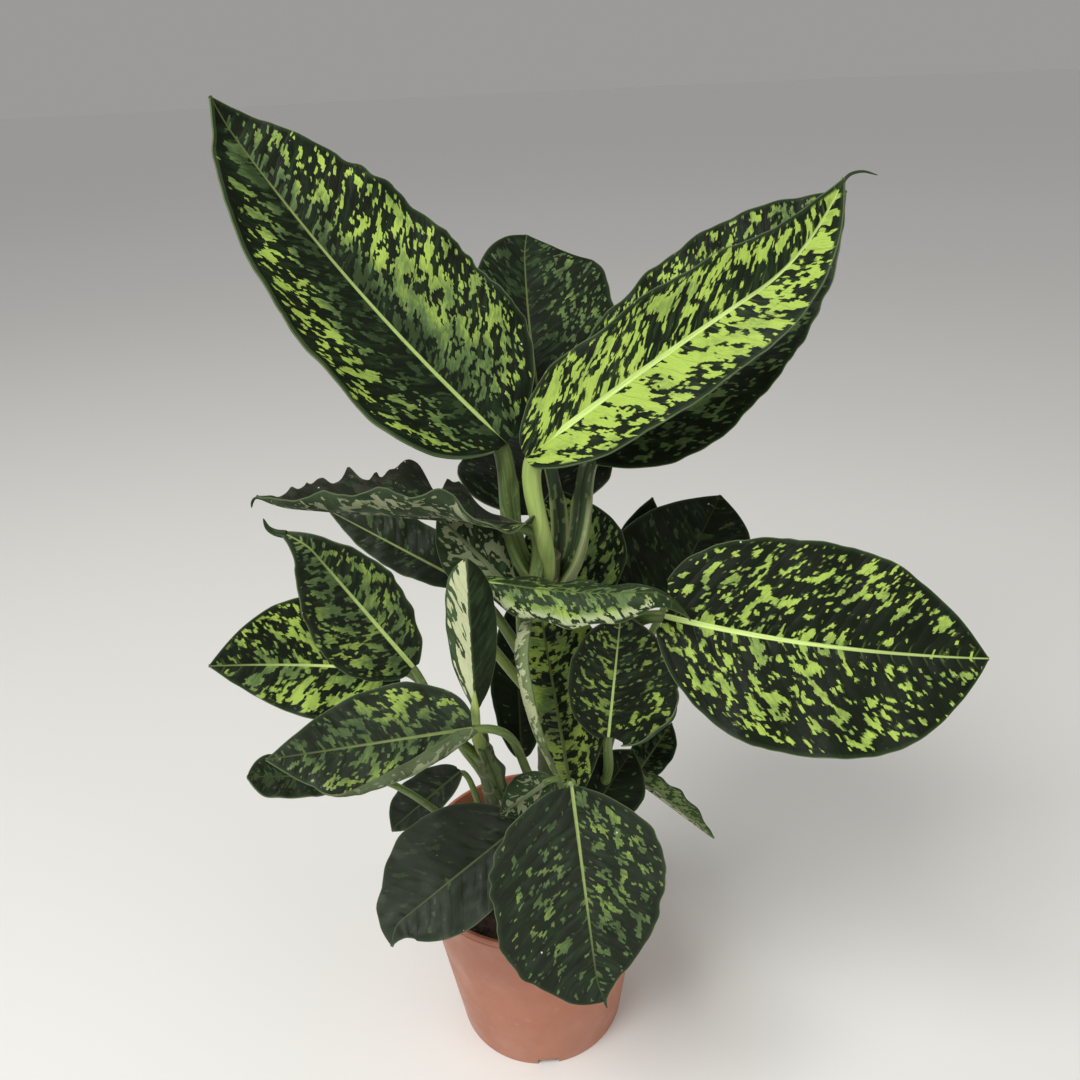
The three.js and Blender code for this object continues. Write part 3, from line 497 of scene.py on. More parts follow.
def blade_finish(name, sizes, underside=False):
    """A marked blade. The mesh carries, in millimetres, veins: where the side vein starts on the
    midrib, how far out along it, and the leaf's own number; edges: how far the margin is, the place
    along the midrib from 0 to 1, and how far the midrib's edge is; paint: cover, glow and dull;
    look: the marks' size, the underside's cream with its painted shade, and brown; film: the
    midrib's tone, the dust, and the grey film with its painted sheen; and grain: how blotched the
    marks are, how cream by the margin, and how wide the plain margin is."""
    # How far marks end in steps, how much strips differ, detail, roughness, and the midrib's rise
    stepped, uneven, detail, smoothest, roughest, rise = (
        (0.25, 0.01, 0.7, 0.5, 0.62, 0.3) if underside else (0.8, 0.035, 1.5, 0.33, 0.43, -0.25))
    made = Finish(name, 0.5 if underside else 0.4, 0.08)
    start, out, made.own = made.measured("veins")
    margin, along, beyond_rib = made.measured("edges")
    cover, glow, dull = made.measured("paint")
    size, cream, brown = made.measured("look")
    rib_tone, dusty, haze = made.measured("film")
    blotch, edging, band = made.measured("grain")
    inner = margin - band

    # Marks end in steps, as they follow narrow strips between the veinlets, and draw out by the rib
    drift = made.grown(start * 0.1, out * 0.1)
    across = start + drift * 6
    strip = made.math("SNAP", across, 1.3)
    far = made.math("ABSOLUTE", out)
    drawn = out if underside else out * far / (far + 6)
    shift = made.chance(strip, made.own) * 37
    cell = made.math("SNAP", drawn + shift, 2.2) - shift
    tone = made.chance(strip, cell + made.own)
    step_across = blend(stepped, across, strip)
    step_out = blend(stepped, drawn, cell)

    def marks_at(wide, long, shift_by, detail):
        return made.grown(step_across * wide / size, step_out * blotch * long / size, shift_by,
                          detail, 0.55) + tone * uneven

    level = 0.675 - cover * 0.33
    large = marks_at(0.155, 0.092, 0, detail) - (level + inner.between(2, 8, 0.14, 0))
    small = marks_at(0.32, 0.26, 40, 0.5) - (level + 0.075)
    flecks = small.between(-0.005, 0.005) * inner.between(1.5, 3.5)
    marked = made.math("MAXIMUM", large.between(-0.005, 0.005), flecks)

    # Clouds of mid green, feathered along the veins, lie under the marks
    cloudy = made.grown(across * 0.24, out * 0.05, 9, 3.5, 0.62)
    clouds = made.math("MULTIPLY", cloudy.between(0.47, 0.68), dull, clamp=True)
    clouds = clouds * margin.between(1.5, 9, 0.1, 1)
    patches = made.grown(start * 0.05, out * 0.05, 21, 1)
    glow = glow + patches.between(0.3, 0.7, -0.2, 0.14)
    glow = made.math("ADD", glow, (tone - 0.5) * 0.2, clamp=True)

    if underside:
        made.colour = made.mix(
            patches.between(0.3, 0.7), tint(sizes.underside, 0.6), tint(sizes.underside, 1.2))
        # The underside's ground darkens as its cream measure falls; at 0 this is painted shade on a
        # half turned from the light
        made.darken(cream.between(0, 1, 0.35, 0.95))
        made.paint(clouds, (0.1, 0.17, 0.075))
        made.paint(edging * margin.between(4, 12, 1, 0), (0.36, 0.45, 0.2))
        made.paint(marked, made.mix(cream, (0.12, 0.16, 0.08), (0.64, 0.68, 0.4)))
        rib = (0.42, 0.5, 0.26)
    else:
        made.colour = made.mix(
            patches.between(0.3, 0.7), tint(sizes.ground), tint(sizes.ground, 1.5))
        made.paint(dull.between(1, 2), (0.06, 0.1, 0.035))
        made.paint(clouds, tint(sizes.cloud))
        made.paint(margin.between(0.5, 3.5, 0.45, 0), (0.035, 0.065, 0.022))
        made.paint(inner.between(-1, 0, 0.75, 0), (0.06, 0.1, 0.04))
        lit = made.mix(glow.between(0, 0.45), (0.034, 0.056, 0.02), tint(sizes.faded))
        lit = made.mix(glow.between(0.35, 1), lit, tint(sizes.mark))
        lit = made.mix(dull.between(1.2, 2, 0, 0.8), lit, (0.27, 0.36, 0.13))
        lit = made.mix(edging * margin.between(3, 9, 1, 0), lit, (0.5, 0.56, 0.33))
        made.paint(marked, lit)
        rib = tint(sizes.rib)

    # Veinlets draw thin darker lines in the marks, and painted shade darkens the side veins'
    # shallow furrows
    veinlet = made.math("PINGPONG", across + tone * 0.3, 0.62)
    shown = made.grown(strip * 0.9, out * 0.16)
    made.darken(made.math("MAXIMUM", veinlet.between(0, 0.17, 0.66, 1), shown.between(0.46, 0.52)))
    wander = made.grown(start * 0.07, out * 0.06, 33)
    side_vein = made.math("PINGPONG", start + (wander - 0.5) * 7, sizes.vein_gap / MM / 2)
    # Painted shade: the blade darkens along the side veins' furrows, in patches
    made.darken(1 - side_vein.between(0, 0.5, 0.3, 0) * patches.between(0.38, 0.6))

    # A side vein is pale where it leaves the midrib
    root = side_vein.between(0.1, 0.7, 1, 0) * beyond_rib.between(0.5, 7, 0.3, 0)
    made.paint(root * glow, (0.2, 0.33, 0.07))
    on_rib = beyond_rib.between(-0.3, 0.3, 1, 0)
    streak = made.grown(start * 0.05, out * 1.4)
    lit_rib = streak.between(0.3, 0.7, 0.85, 1.1) * along.between(0.1, 1, 1, 0.85)
    made.paint(on_rib, made.shade(rib, lit_rib * rib_tone))

    # The margin dries brown and has a thin pale rim of painted highlight, and a grey film and dust
    # lie over it all; the film is partly painted sheen, stronger on the bulges between the side
    # veins
    dried = made.grown(start * 0.2, out * 0.2, detail=3)
    reached = made.math("LESS_THAN", margin, dried.between(0.35, 0.65, 2, 22) * brown)
    made.paint(reached * brown.between(0, 0.5, 0, 0.85),
               made.mix(drift.between(0.4, 0.6), (0.012, 0.011, 0.008), (0.04, 0.036, 0.026)))
    # Painted highlight: a thin pale rim along the margin
    made.paint(margin.between(0.2, 0.7, 0.8, 0), (0.13, 0.17, 0.08))
    smear = made.noise(24, 3, 0.6)
    # Painted sheen: the grey film is laid on more thickly on the bulges between the side veins and
    # thinly in their furrows
    quilted = far.between(4, 30, 0.8, 0.1) * drift.between(0.38, 0.6)
    sheen_on_bulges = blend(quilted, 1, side_vein.between(0.1, 2.8, 0.4, 1.25))
    film_and_sheen_share = made.math("MULTIPLY", haze * smear.between(0.3, 0.7, 0.5, 1), sheen_on_bulges, clamp=True)
    made.paint(film_and_sheen_share, (0.075, 0.088, 0.066))
    made.paint(made.specks(190, 0.11, dusty), (0.55, 0.57, 0.52))

    cells, film = made.noise(420), made.noise(45)
    rough = cells.between(0.3, 0.7, smoothest, roughest) + film.between(0.35, 0.7, 0, 0.1)
    height = (side_vein.between(0, 1.6) * 0.25 + cells * 0.22 + veinlet.between(0, 0.3) * 0.1
              + film * 1.2 + on_rib * rise)
    return made.finish(rough, made.relief(height, 0.0006, 0.6))


def stalk_finish(name, pale, dark, face=None):
    """A petiole with lengthwise streaks, and where face is given, painted shade of that dark colour
    in the hollow of its channel. Its mesh carries in veins how far along it is, how far round, and
    the leaf's own number, and in edges how near the blade it is, and how much it faces inwards and
    is a lip of the channel, from 0 to 1."""
    made = Finish(name, 0.42, 0.4)
    length, around, made.own = made.measured("veins")
    near_blade, inner, lip = made.measured("edges")
    streaks = made.grown(length * 0.018, around * 0.5, detail=3)
    fine = made.grown(length * 0.05, around * 2.2)
    made.colour = made.mix(streaks.between(0.34, 0.66), dark, pale)
    made.darken(fine.between(0.35, 0.6, 0.9, 1.04))
    if face:
        # Painted shade: the hollow of the channel is darkened to the face colour
        shaded_hollow = inner.between(0.62, 0.74) * lip.between(0.2, 0.6, 1, 0)
        made.paint(shaded_hollow, made.mix(streaks.between(0.4, 0.6), tint(face, 0.5), face))
        made.paint(lip.between(0.5, 0.95, 0, 0.5), (0.36, 0.36, 0.2))
    spots = made.grown(length * 0.16, around * 0.3, detail=1)
    made.paint(spots.between(0.62, 0.65, 0, 0.35), (0.3, 0.4, 0.16))
    made.darken(near_blade.between(0, 0.3, 0.75, 1))
    made.paint(made.specks(260, 0.13, 0.06), (0.5, 0.52, 0.48))
    return made.finish(fine.between(0.3, 0.7, 0.36, 0.5), made.relief(fine, 0.0004, 0.4))


def cane_finish(sizes):
    """Bark with streaks, pale leaf scars and small corky dots."""
    made = Finish("cane_bark", 0.62, 0.35)
    length, around, made.own = made.measured("veins")
    scar = made.measured("edges")[2]
    streaks = made.grown(length * 0.03, around * 0.75, detail=4)
    made.colour = made.mix(
        streaks.between(0.35, 0.65), tint(sizes.bark, 0.5), tint(sizes.bark, 1.7))
    made.paint(made.noise(38, 3).between(0.48, 0.62, 0, 0.6), (0.09, 0.14, 0.045))
    made.paint(scar.between(0.35, 0.9, 0, 0.65), (0.27, 0.23, 0.13))
    corky = made.specks(420, 0.3, 0.2)
    made.paint(corky * 0.6, (0.3, 0.27, 0.18))
    relief = made.relief(streaks + corky * 0.3, 0.0009, 0.7)
    return made.finish(streaks.between(0.3, 0.7, 0.52, 0.78), relief)


def pot_finish(sizes):
    """Satin plastic with a faint flow, a fine grain, and a little dust and scuffing."""
    made = Finish("pot_satin_plastic", 0.42, 0.45)
    flow = made.noise(16, 4, 0.6)
    made.colour = made.mix(flow.between(0.35, 0.65), tint(sizes.colour), tint(sizes.colour, 0.9))
    made.paint(made.noise(5).between(0.45, 0.7, 0, 0.22), (0.62, 0.3, 0.2))
    scuffs = made.noise(60, 5, 0.75)
    made.paint(scuffs.between(0.6, 0.72, 0, 0.25), (0.66, 0.42, 0.33))
    made.paint(made.specks(130, 0.06, 0.06) * 0.5, (0.7, 0.55, 0.48))
    rough = (flow * 0.6 + scuffs * 0.4).between(0.35, 0.65, 0.34, 0.54)
    return made.finish(rough, made.relief(made.noise(900), 0.0002, 0.35))


def soil_finish(sizes):
    """Damp peat with paler fibres and a few light grains."""
    made = Finish("soil_peat", 0.9, 0.25)
    clumps = made.noise(90, 5, 0.7)
    fibres = made.noise(420, 3, 0.6, 1.5)
    made.colour = made.mix(
        clumps.between(0.35, 0.65), tint(sizes.colour, 0.35), tint(sizes.colour, 1.5))
    made.paint(fibres.between(0.6, 0.68, 0, 0.55), (0.16, 0.1, 0.055))
    made.paint(made.specks(210, 0.2, 0.06) * 0.7, (0.34, 0.3, 0.24))
    relief = made.relief(clumps + fibres * 0.4, 0.0025, 0.8)
    return made.finish(clumps.between(0.3, 0.7, 0.82, 0.98), relief)


def floor_finish(sizes):
    """Pale board that turns a little whiter a long way off."""
    made = Finish("stage_floor", 0.6, 0.3)
    drift = made.noise(0.8)
    made.colour = made.mix(drift.between(0.3, 0.7), tint(sizes.floor), tint(sizes.floor, 0.985))
    away = made.node("VectorMath", {0: made.place}, "Value", operation="LENGTH")
    made.paint(away.between(1.2, 5), (0.96, 0.96, 0.96))
    return made.finish()


# Curves

def along_curve(points, count):
    """count + 1 evenly spaced points on a smooth curve through the points."""
    spots = [Vector(point) for point in points]
    spots = [2 * spots[0] - spots[1], *spots, 2 * spots[-1] - spots[-2]]
    fine = []
    for a, b, c, d in zip(spots, spots[1:], spots[2:], spots[3:]):
        first, middle, last = ((b - a).length ** 0.5, (c - b).length ** 0.5, (d - c).length ** 0.5)
        leave = ((b - a) / first - (c - a) / (first + middle) + (c - b) / middle) * middle
        arrive = ((c - b) / middle - (d - b) / (middle + last) + (d - c) / last) * middle
        for k in range(CURVE_STEPS):
            t = k / CURVE_STEPS
            fine.append(b * (2 * t**3 - 3 * t**2 + 1) + leave * (t**3 - 2 * t**2 + t)
                        + c * (3 * t**2 - 2 * t**3) + arrive * (t**3 - t**2))
    fine.append(spots[-2])
    lengths = [0.0]
    for a, b in zip(fine, fine[1:]):
        lengths.append(lengths[-1] + (b - a).length)
    even = []
    k = 0
    for step in range(count + 1):
        wanted = lengths[-1] * step / count
        while k < len(lengths) - 2 and lengths[k + 1] < wanted:
            k += 1
        share = (wanted - lengths[k]) / max(lengths[k + 1] - lengths[k], 1e-9)
        even.append(fine[k].lerp(fine[k + 1], min(share, 1)))
    return even


def on_bend(a, b, c, d, t):
    """A point on a curve from a to d that sets out towards b and comes in from c."""
    return (a * (1 - t) ** 3 + b * (3 * t * (1 - t) ** 2) + c * (3 * t * t * (1 - t))
            + d * t**3)


def headings(path):
    """The way on at each point of a path."""
    ends = [path[0], *path, path[-1]]
    return [(b - a).normalized() for a, b in zip(ends, ends[2:])]


def path_length(path):
    return sum((b - a).length for a, b in zip(path, path[1:]))


def cane_path(cane, count):
    buried = (cane["foot"][0], cane["foot"][1], SOIL_TOP - BURIED)
    return along_curve([buried, cane["foot"], cane["middle"], cane["top"]], count)


# Meshes

def add_object(name, data):
    added = bpy.data.objects.new(name, data)
    bpy.context.scene.collection.objects.link(added)
    return added


def add_shape(name, shape):
    """An object of the shape, which is done with."""
    mesh = bpy.data.meshes.new(name)
    shape.to_mesh(mesh)
    shape.free()
    return add_object(name, mesh)


def new_shape(*names):
    """An empty shape, and a place on its points for each named set of three numbers."""
    shape = bmesh.new()
    return shape, {name: shape.verts.layers.float_vector.new(name) for name in names}


def turned_shape(outline, sides):
    """A shape turned from its outline, as (radius, height), closed at its seam and its poles."""
    shape = bmesh.new()
    verts = [shape.verts.new((radius, 0, height)) for radius, height in outline]
    edges = [shape.edges.new(pair) for pair in zip(verts, verts[1:])]
    bmesh.ops.spin(shape, geom=verts + edges, cent=(0, 0, 0), axis=(0, 0, 1),
                   angle=2 * math.pi, steps=sides, use_merge=True)
    bmesh.ops.remove_doubles(shape, verts=shape.verts, dist=1e-3)
    return shape


def make_piece(name, shape, materials, replaces, sharp=42):
    """The finished object, in metres, riding on the plant and standing for its solid."""
    bmesh.ops.recalc_face_normals(shape, faces=shape.faces)
    bmesh.ops.scale(shape, vec=(MM, MM, MM), verts=shape.verts)
    piece = add_shape(name, shape)
    for material in materials:
        piece.data.materials.append(material)
    piece.data.shade_smooth()
    piece.data.set_sharp_from_angle(angle=math.radians(sharp))
    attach(piece, "root")
    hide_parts(replaces)
    return piece


def wrap_tube(shape, layers, path, inward, section, sides, material, number):
    """A tube along path. section(t, angle) gives the radius, where angle 0 looks inward, and the
    number that goes in the mesh as its third edge measure."""
    steps = len(path) - 1
    grid = bmesh.ops.create_grid(shape, x_segments=sides, y_segments=steps, size=1)["verts"]
    ways = headings(path)
    total = path_length(path)
    girth = section(0.5, math.pi)[0]
    for vert in grid:
        step = round((vert.co.y + 1) / 2 * steps)
        angle = -math.pi * vert.co.x
        t = step / steps
        toward = inward(t)
        toward = (toward - ways[step] * toward.dot(ways[step])).normalized()
        beside = ways[step].cross(toward)
        radius, third = section(t, angle)
        vert.co = path[step] + (toward * math.cos(angle) + beside * math.sin(angle)) * radius
        vert[layers["veins"]] = (t * total, angle * girth, number)
        vert[layers["edges"]] = (t, 0.5 + 0.5 * math.cos(angle), third)
    faces = {face for vert in grid for face in vert.link_faces}
    for face in faces:
        face.material_index = material
    bmesh.ops.remove_doubles(shape, verts=grid, dist=1e-5)
    open_edges = list({
        edge for face in faces if face.is_valid for edge in face.edges if edge.is_boundary})
    for cap in bmesh.ops.holes_fill(shape, edges=open_edges, sides=0)["faces"]:
        cap.material_index = material
    return [vert for vert in grid if vert.is_valid]


# Leaves

def measure(leaf, key, side=0):
    """A measure of one half of a leaf, or the one for both halves, or its usual value."""
    return leaf.get(key + ("R" if side > 0 else "L"), leaf.get(key, USUAL[key]))


def outline_at(leaf, u, side):
    """The half width at u along the midrib, as a share of the widest."""
    widest = measure(leaf, "widest", side)
    if u < widest:
        back = (widest - u) / widest
        return (1 - back * back) ** measure(leaf, "rounding", side)
    return max(0, 1 - ((u - widest) / (1 - widest)) ** measure(leaf, "taper", side))


def blade_axes(leaf):
    """The midrib's length, and the ways along it, across it and up from the face."""
    along = leaf["tip"] - leaf["base"]
    length = along.length
    along.normalize()
    across = along.cross(leaf["faces"]).normalized()
    return length, along, across, across.cross(along)


def midrib_point(leaf, axes, u):
    """The place of the midrib at u, with its arch, bow and bent drip tip."""
    length, along, across, up = axes
    rise = 4 * u * (1 - u)
    start = measure(leaf, "hookStart")
    end = max(0, (u - start) / (1 - start)) ** 2
    return (leaf["base"] + along * length * u
            + up * (measure(leaf, "arch") * rise + measure(leaf, "hook") * end)
            + across * (measure(leaf, "bow") * rise + measure(leaf, "veer") * end))


def half_profile(leaf, side, columns):
    """How far out and up each column of a half lies, for a half of unit width."""
    fold, curl = measure(leaf, "fold", side), measure(leaf, "curl", side)
    out, lift, reached, profile = 0.0, 0.0, 0.0, []
    for column in range(columns + 1):
        share = (column / columns) ** 1.25
        step = (share - reached) / COLUMN_STEPS
        for k in range(COLUMN_STEPS):
            tilt = math.radians(fold + curl * (reached + step * (k + 0.5)) ** 1.5)
            out += step * math.cos(tilt)
            lift += step * math.sin(tilt)
        reached = share
        profile.append((share, out, lift))
    return profile


def smooth(value, low, high):
    """0 below low and 1 above high, with a soft rise between them."""
    share = min(1, max(0, (value - low) / (high - low)))
    return share * share * (3 - 2 * share)


def profile_at(profile, share):
    """How far out and up a half lies at any share of its width."""
    for (low, out, lift), (high, further, higher) in zip(profile, profile[1:]):
        if share <= high:
            part = (share - low) / (high - low)
            return out + (further - out) * part, lift + (higher - lift) * part
    return profile[-1][1:]


def turned_strip(leaf, u, side, outline):
    """How wide the strip of margin is that is folded up over the blade."""
    width, start, end = measure(leaf, "turned", side)
    if not width or not start < u < end:
        return 0
    swelling = math.sin(math.pi * (u - start) / (end - start)) ** 0.7
    return width * swelling * min(1, 3 * outline) ** 0.5


def folded_over(leaf, side, over):
    """Where a margin that is bent back round a small fold has got to, out and up from the fold."""
    tilt = math.radians(measure(leaf, "fold", side) + measure(leaf, "curl", side))
    bend, most = 2.2, math.radians(150)
    angle = min(over / bend, most)
    beyond = max(0, over - bend * most)
    out = bend * math.sin(angle) + beyond * math.cos(most)
    rise = bend * (1 - math.cos(angle)) + beyond * math.sin(most)
    level, steep = math.cos(tilt), math.sin(tilt)
    return out * level - rise * steep, out * steep + rise * level


def paint_at(leaf, u, across, flat):
    """How covered, how bright and how clouded the blade is at a place."""
    cover, near, glow, near_glow, dull = (
        measure(leaf, key, across) for key in ("cover", "near", "glow", "near_glow", "dull"))
    cover += near * (1 - smooth(flat, 3, 24))
    glow = near_glow + (glow - near_glow) * smooth(flat, 3, 26)
    for along, side, reach, more_cover, more_glow in leaf["spots"]:
        share = max(0, 1 - ((u - along) / reach) ** 2 - ((across - side) / (1.6 * reach)) ** 2)
        cover += more_cover * share
        glow += more_glow * share
    return cover, glow, dull


def blade_sections(leaf, axes, rows):
    """For each row of a blade, its place along the midrib from 0 to 1, the midrib's point there,
    and the ways ahead, across and up."""
    sections = []
    for row in range(rows + 1):
        even = row / rows
        eased = 0.5 * even + 0.25 * (1 - math.cos(math.pi * even))
        u = BLADE_FROM + (1 - BLADE_FROM) * eased
        ahead = midrib_point(leaf, axes, u + 0.01) - midrib_point(leaf, axes, u - 0.01)
        ahead.normalize()
        turn = math.radians(measure(leaf, "twist")) * (u - 0.35)
        across = axes[2] * math.cos(turn) + axes[3] * math.sin(turn)
        across = (across - ahead * across.dot(ahead)).normalized()
        sections.append((u, midrib_point(leaf, axes, u), ahead, across, across.cross(ahead)))
    return sections


def margin_at(leaf, length, u, side, number):
    """The outline at u, how wide the half is with its scallops and torn edge, and its cup."""
    outline = outline_at(leaf, u, side)
    teeth = 29 * u + 4 * noise.noise((5 * u, number, 0.5))
    torn = measure(leaf, "ragged") * abs(math.sin(teeth) * math.sin(12 * u)) if side > 0 else 0
    half = max(leaf["width"] / 2 * outline, NARROWEST) * measure(leaf, "side", side) * (1 - torn)
    ripple = noise.noise((u * length / SCALLOP_LONG, side * 5.1, number * 3.7))
    half += measure(leaf, "scallop", side) * ripple * min(1, 3 * outline)
    cup = measure(leaf, "cup") * math.sin(math.pi * min(1, u / 0.32)) ** 1.5 if side < 0 else 0
    return outline, half + 0.6 * cup, cup


def relief_at(leaf, side, number, start, flat, inward, gap):
    """How far the blade is raised between its side veins and by crinkles."""
    stray = 2.2 * noise.noise((start / STRAY_LONG, side * flat / 25, number * 2.1))
    quilt = abs(math.sin(math.pi * (start + stray) / gap))
    quilt *= math.sin(math.pi * min(1, flat / 45 + 0.12)) ** 0.5
    quilt *= 0.6 + 0.8 * noise.noise((start / SWELL_LONG, side * flat / 18, number * 4.3))
    quilt *= measure(leaf, "pucker", side) * min(1, inward / 6) * min(1, flat / 5)
    crinkle = measure(leaf, "crinkle") * min(1, flat / 8) * noise.fractal(
        (start / CRINKLE_LONG, side * flat / 16, number * 5.3), 1.0, 2.0, 2)
    return quilt + crinkle


def add_blade(shape, layers, leaf, number, sizes):
    """A blade with quilted side veins, a grooved midrib and a wavy margin, closed all round."""
    rows, columns = leaf["cells"]
    axes = blade_axes(leaf)
    length = axes[0]
    rib_width, rib_from = measure(leaf, "rib"), measure(leaf, "rib_from")
    halves = {side: half_profile(leaf, side, columns // 2) for side in (-1, 1)}
    sections = blade_sections(leaf, axes, rows)
    grid = bmesh.ops.create_grid(shape, x_segments=columns, y_segments=rows, size=1)["verts"]
    for vert in grid:
        u, centre, ahead, across, up = sections[round((vert.co.y + 1) / 2 * rows)]
        column = round(vert.co.x * (columns // 2))
        side = 1 if column >= 0 else -1
        share, out, lift = halves[side][abs(column)]
        outline, half, cup = margin_at(leaf, length, u, side, number)
        whole = half + turned_strip(leaf, u, side, outline)
        flat = share * whole
        over = max(0, flat - half)
        if whole > half:
            share = min(1, flat / half)
            out, lift = profile_at(halves[side], share)
        start = u * length - measure(leaf, "slant", side) * flat - VEIN_BEND * flat * flat
        turns = measure(leaf, "waves") * u + (0 if side > 0 else CREST_LAG)
        crest = measure(leaf, "wave") * outline * math.sin(2 * math.pi * turns)
        crest += 0.5 * outline * noise.noise((u * length / CREST_LONG, side * 2.3, number * 1.9))
        groove = GROOVE_DEEP * math.exp(-((flat / GROOVE_WIDE) ** 2)) * (1 - u)
        height = lift * half + crest * share * share - groove - 1.5 * cup * share**1.5
        height += relief_at(leaf, side, number, start, flat, whole - flat, sizes.vein_gap / MM)
        behind = measure(leaf, "lobe", side) * max(0, 1 - u / 0.4) ** 2 * share * share
        behind += measure(leaf, "skirt") * max(0, 1 - u / 0.12) ** 2 * (1 - share * share)
        vert.co = centre + across * side * out * half + up * height - ahead * behind
        if over:
            further, higher = folded_over(leaf, side, over)
            vert.co += across * side * further + up * higher
        rib = 0.5 * rib_width * max(0, 1.03 - u) ** 0.75 + 0.2
        rib *= smooth(u, rib_from - 0.03, rib_from + 0.03)
        margin = min(whole - flat, u * length + 4, (1 - u) * length + 1.5)
        vert[layers["veins"]] = (start, side * flat * SPREAD, number * BLADE_APART)
        vert[layers["edges"]] = (margin, u, flat - rib)
        vert[layers["paint"]] = paint_at(leaf, u, side * share, flat)
        for name, keys in MARK_LAYERS.items():
            vert[layers[name]] = [measure(leaf, key, side) for key in keys]
        vert[layers["film"]].x *= 1 - measure(leaf, "rib_fade") * smooth(u, 0.35, 0.95)
    thicken_blade(shape, layers, grid, rib_width, sizes.thickness / MM)


def thicken_blade(shape, layers, grid, rib_width, thickness):
    """Give a blade its underside, on which the midrib stands out as a ridge."""
    upper = list({face for vert in grid for face in vert.link_faces})
    shape.normal_update()
    made = bmesh.ops.solidify(shape, geom=upper, thickness=thickness)["geom"]
    first = set(grid)
    under = [part for part in made if isinstance(part, bmesh.types.BMVert) and part not in first]

    # In the narrow ends the underside's points are brought back to within the blade's thickness
    above = {tuple(vert[layers["veins"]]): vert.co for vert in grid}
    for vert in under:
        top = above[tuple(vert[layers["veins"]])]
        down = vert.co - top
        if down.length > 2 * thickness:
            vert.co = top + down.normalized() * thickness
    shape.normal_update()
    for vert in under:
        flat = abs(vert[layers["veins"]].y) / SPREAD
        ridge = min(1.5, max(0, rib_width)) * max(0, 1 - (flat / 2.4) ** 2)
        vert.co += vert.normal * ridge * (1 - vert[layers["edges"]].y) ** 0.7
    for face in {face for vert in under for face in vert.link_faces}:
        face.material_index = 1
    for face in upper:
        face.material_index = 0


def add_tail(shape, layers, leaf, number):
    """A drip tip drawn out to a thin curled tail, of the blade's own finish."""
    length, thickness, out, end = leaf["tail"]
    axes = blade_axes(leaf)
    tip = midrib_point(leaf, axes, 0.99)
    ahead = (tip - midrib_point(leaf, axes, 0.94)).normalized()
    out, end = (Vector(way).normalized() * length for way in (out, end))
    path = along_curve([tip - ahead * 3, tip + out * 0.3, tip + out * 0.55 + end * 0.25,
                        tip + out * 0.6 + end * 0.75], TAIL_STEPS)

    def section(t, angle):
        return thickness * (1 - t) ** 0.6 * (0.3 + 0.75 * abs(math.sin(angle))) + 0.12, 5

    skin = wrap_tube(shape, layers, path, lambda t: axes[3], section, TAIL_SIDES, 0,
                     number * BLADE_APART)
    for vert in skin:
        vert[layers["edges"]] = (1.2, 0.99, 5)
        vert[layers["paint"]] = (-0.3, 0.3, 1.4)
        for name, keys in MARK_LAYERS.items():
            vert[layers[name]] = [measure(leaf, key) for key in keys]


def petiole_path(leaf):
    """The petiole's centre line from its foot on the cane to where it ends under the midrib, where
    on it the blade starts, the way out from the cane and the way up from the blade."""
    cane_name, height, side = leaf["grows"]
    cane = CANES[cane_name]
    path = cane_path(cane, GROWTH_STEPS)
    spot = min(range(len(path)), key=lambda k: abs(path[k].z - height))
    radius = cane["radii"][0] + (cane["radii"][1] - cane["radii"][0]) * spot / GROWTH_STEPS
    outward = Vector((math.cos(math.radians(side)), math.sin(math.radians(side)), 0))
    thick, thin = leaf["petiole"]
    foot = path[spot] + outward * (radius + 0.25 * thick)
    within = path[max(0, spot - 12)] + outward * 0.2 * radius
    axes = blade_axes(leaf)
    root = midrib_point(leaf, axes, 0.01) - axes[3] * (thin + 0.4)
    inside = [midrib_point(leaf, axes, u) - axes[3] * (share * thin + 0.45)
              for u, share in ((0.05, 0.75), (0.1, 0.42), (0.15, 0.2))]
    reach = (root - foot).length
    rising = (headings(path)[spot] * 0.85 + outward * 0.5).normalized()
    bends = foot, foot + rising * 0.45 * reach, root - axes[1] * 0.24 * reach, root
    line = [within, *(on_bend(*bends, k / BEND_STEPS) for k in range(BEND_STEPS + 1))]
    before, after = path_length(line), path_length([root, *inside])
    return along_curve([*line, *inside], STALK_STEPS), before / (before + after), outward, axes[3]


def add_petiole(shape, layers, leaf, number):
    """A petiole that clasps its cane, has a channel along its inner side and runs into the midrib.
    Where the leaf has a sheath, the channel is wide as far as the sheath's end."""
    path, root_at, outward, up = petiole_path(leaf)
    thick, thin = leaf["petiole"]
    sheath = measure(leaf, "sheath")

    def inward(t):
        return -outward * max(0, 1 - 1.4 * t) + up * min(1, 0.15 + 1.4 * t)

    def section(t, angle):
        if t < root_at:
            radius = thick + (thin - thick) * t / root_at
        else:
            radius = thin + (0.35 - thin) * (t - root_at) / (1 - root_at)
        wide = 1 - smooth(t, sheath - 0.07, sheath) if sheath else 0.35 * max(0, 1 - t / 0.4)
        inner = max(0, 1 - abs(angle) / 1.15)
        channel = (0.1 + 0.6 * wide) * inner**0.8 * max(0, 1 - t / root_at) ** 0.25
        lip = math.exp(-(((abs(angle) - 1.25) / 0.32) ** 2)) * wide
        return radius * (0.94 - channel + 0.25 * lip), lip

    wrap_tube(shape, layers, path, inward, section, STALK_SIDES, 2, number * STALK_APART)


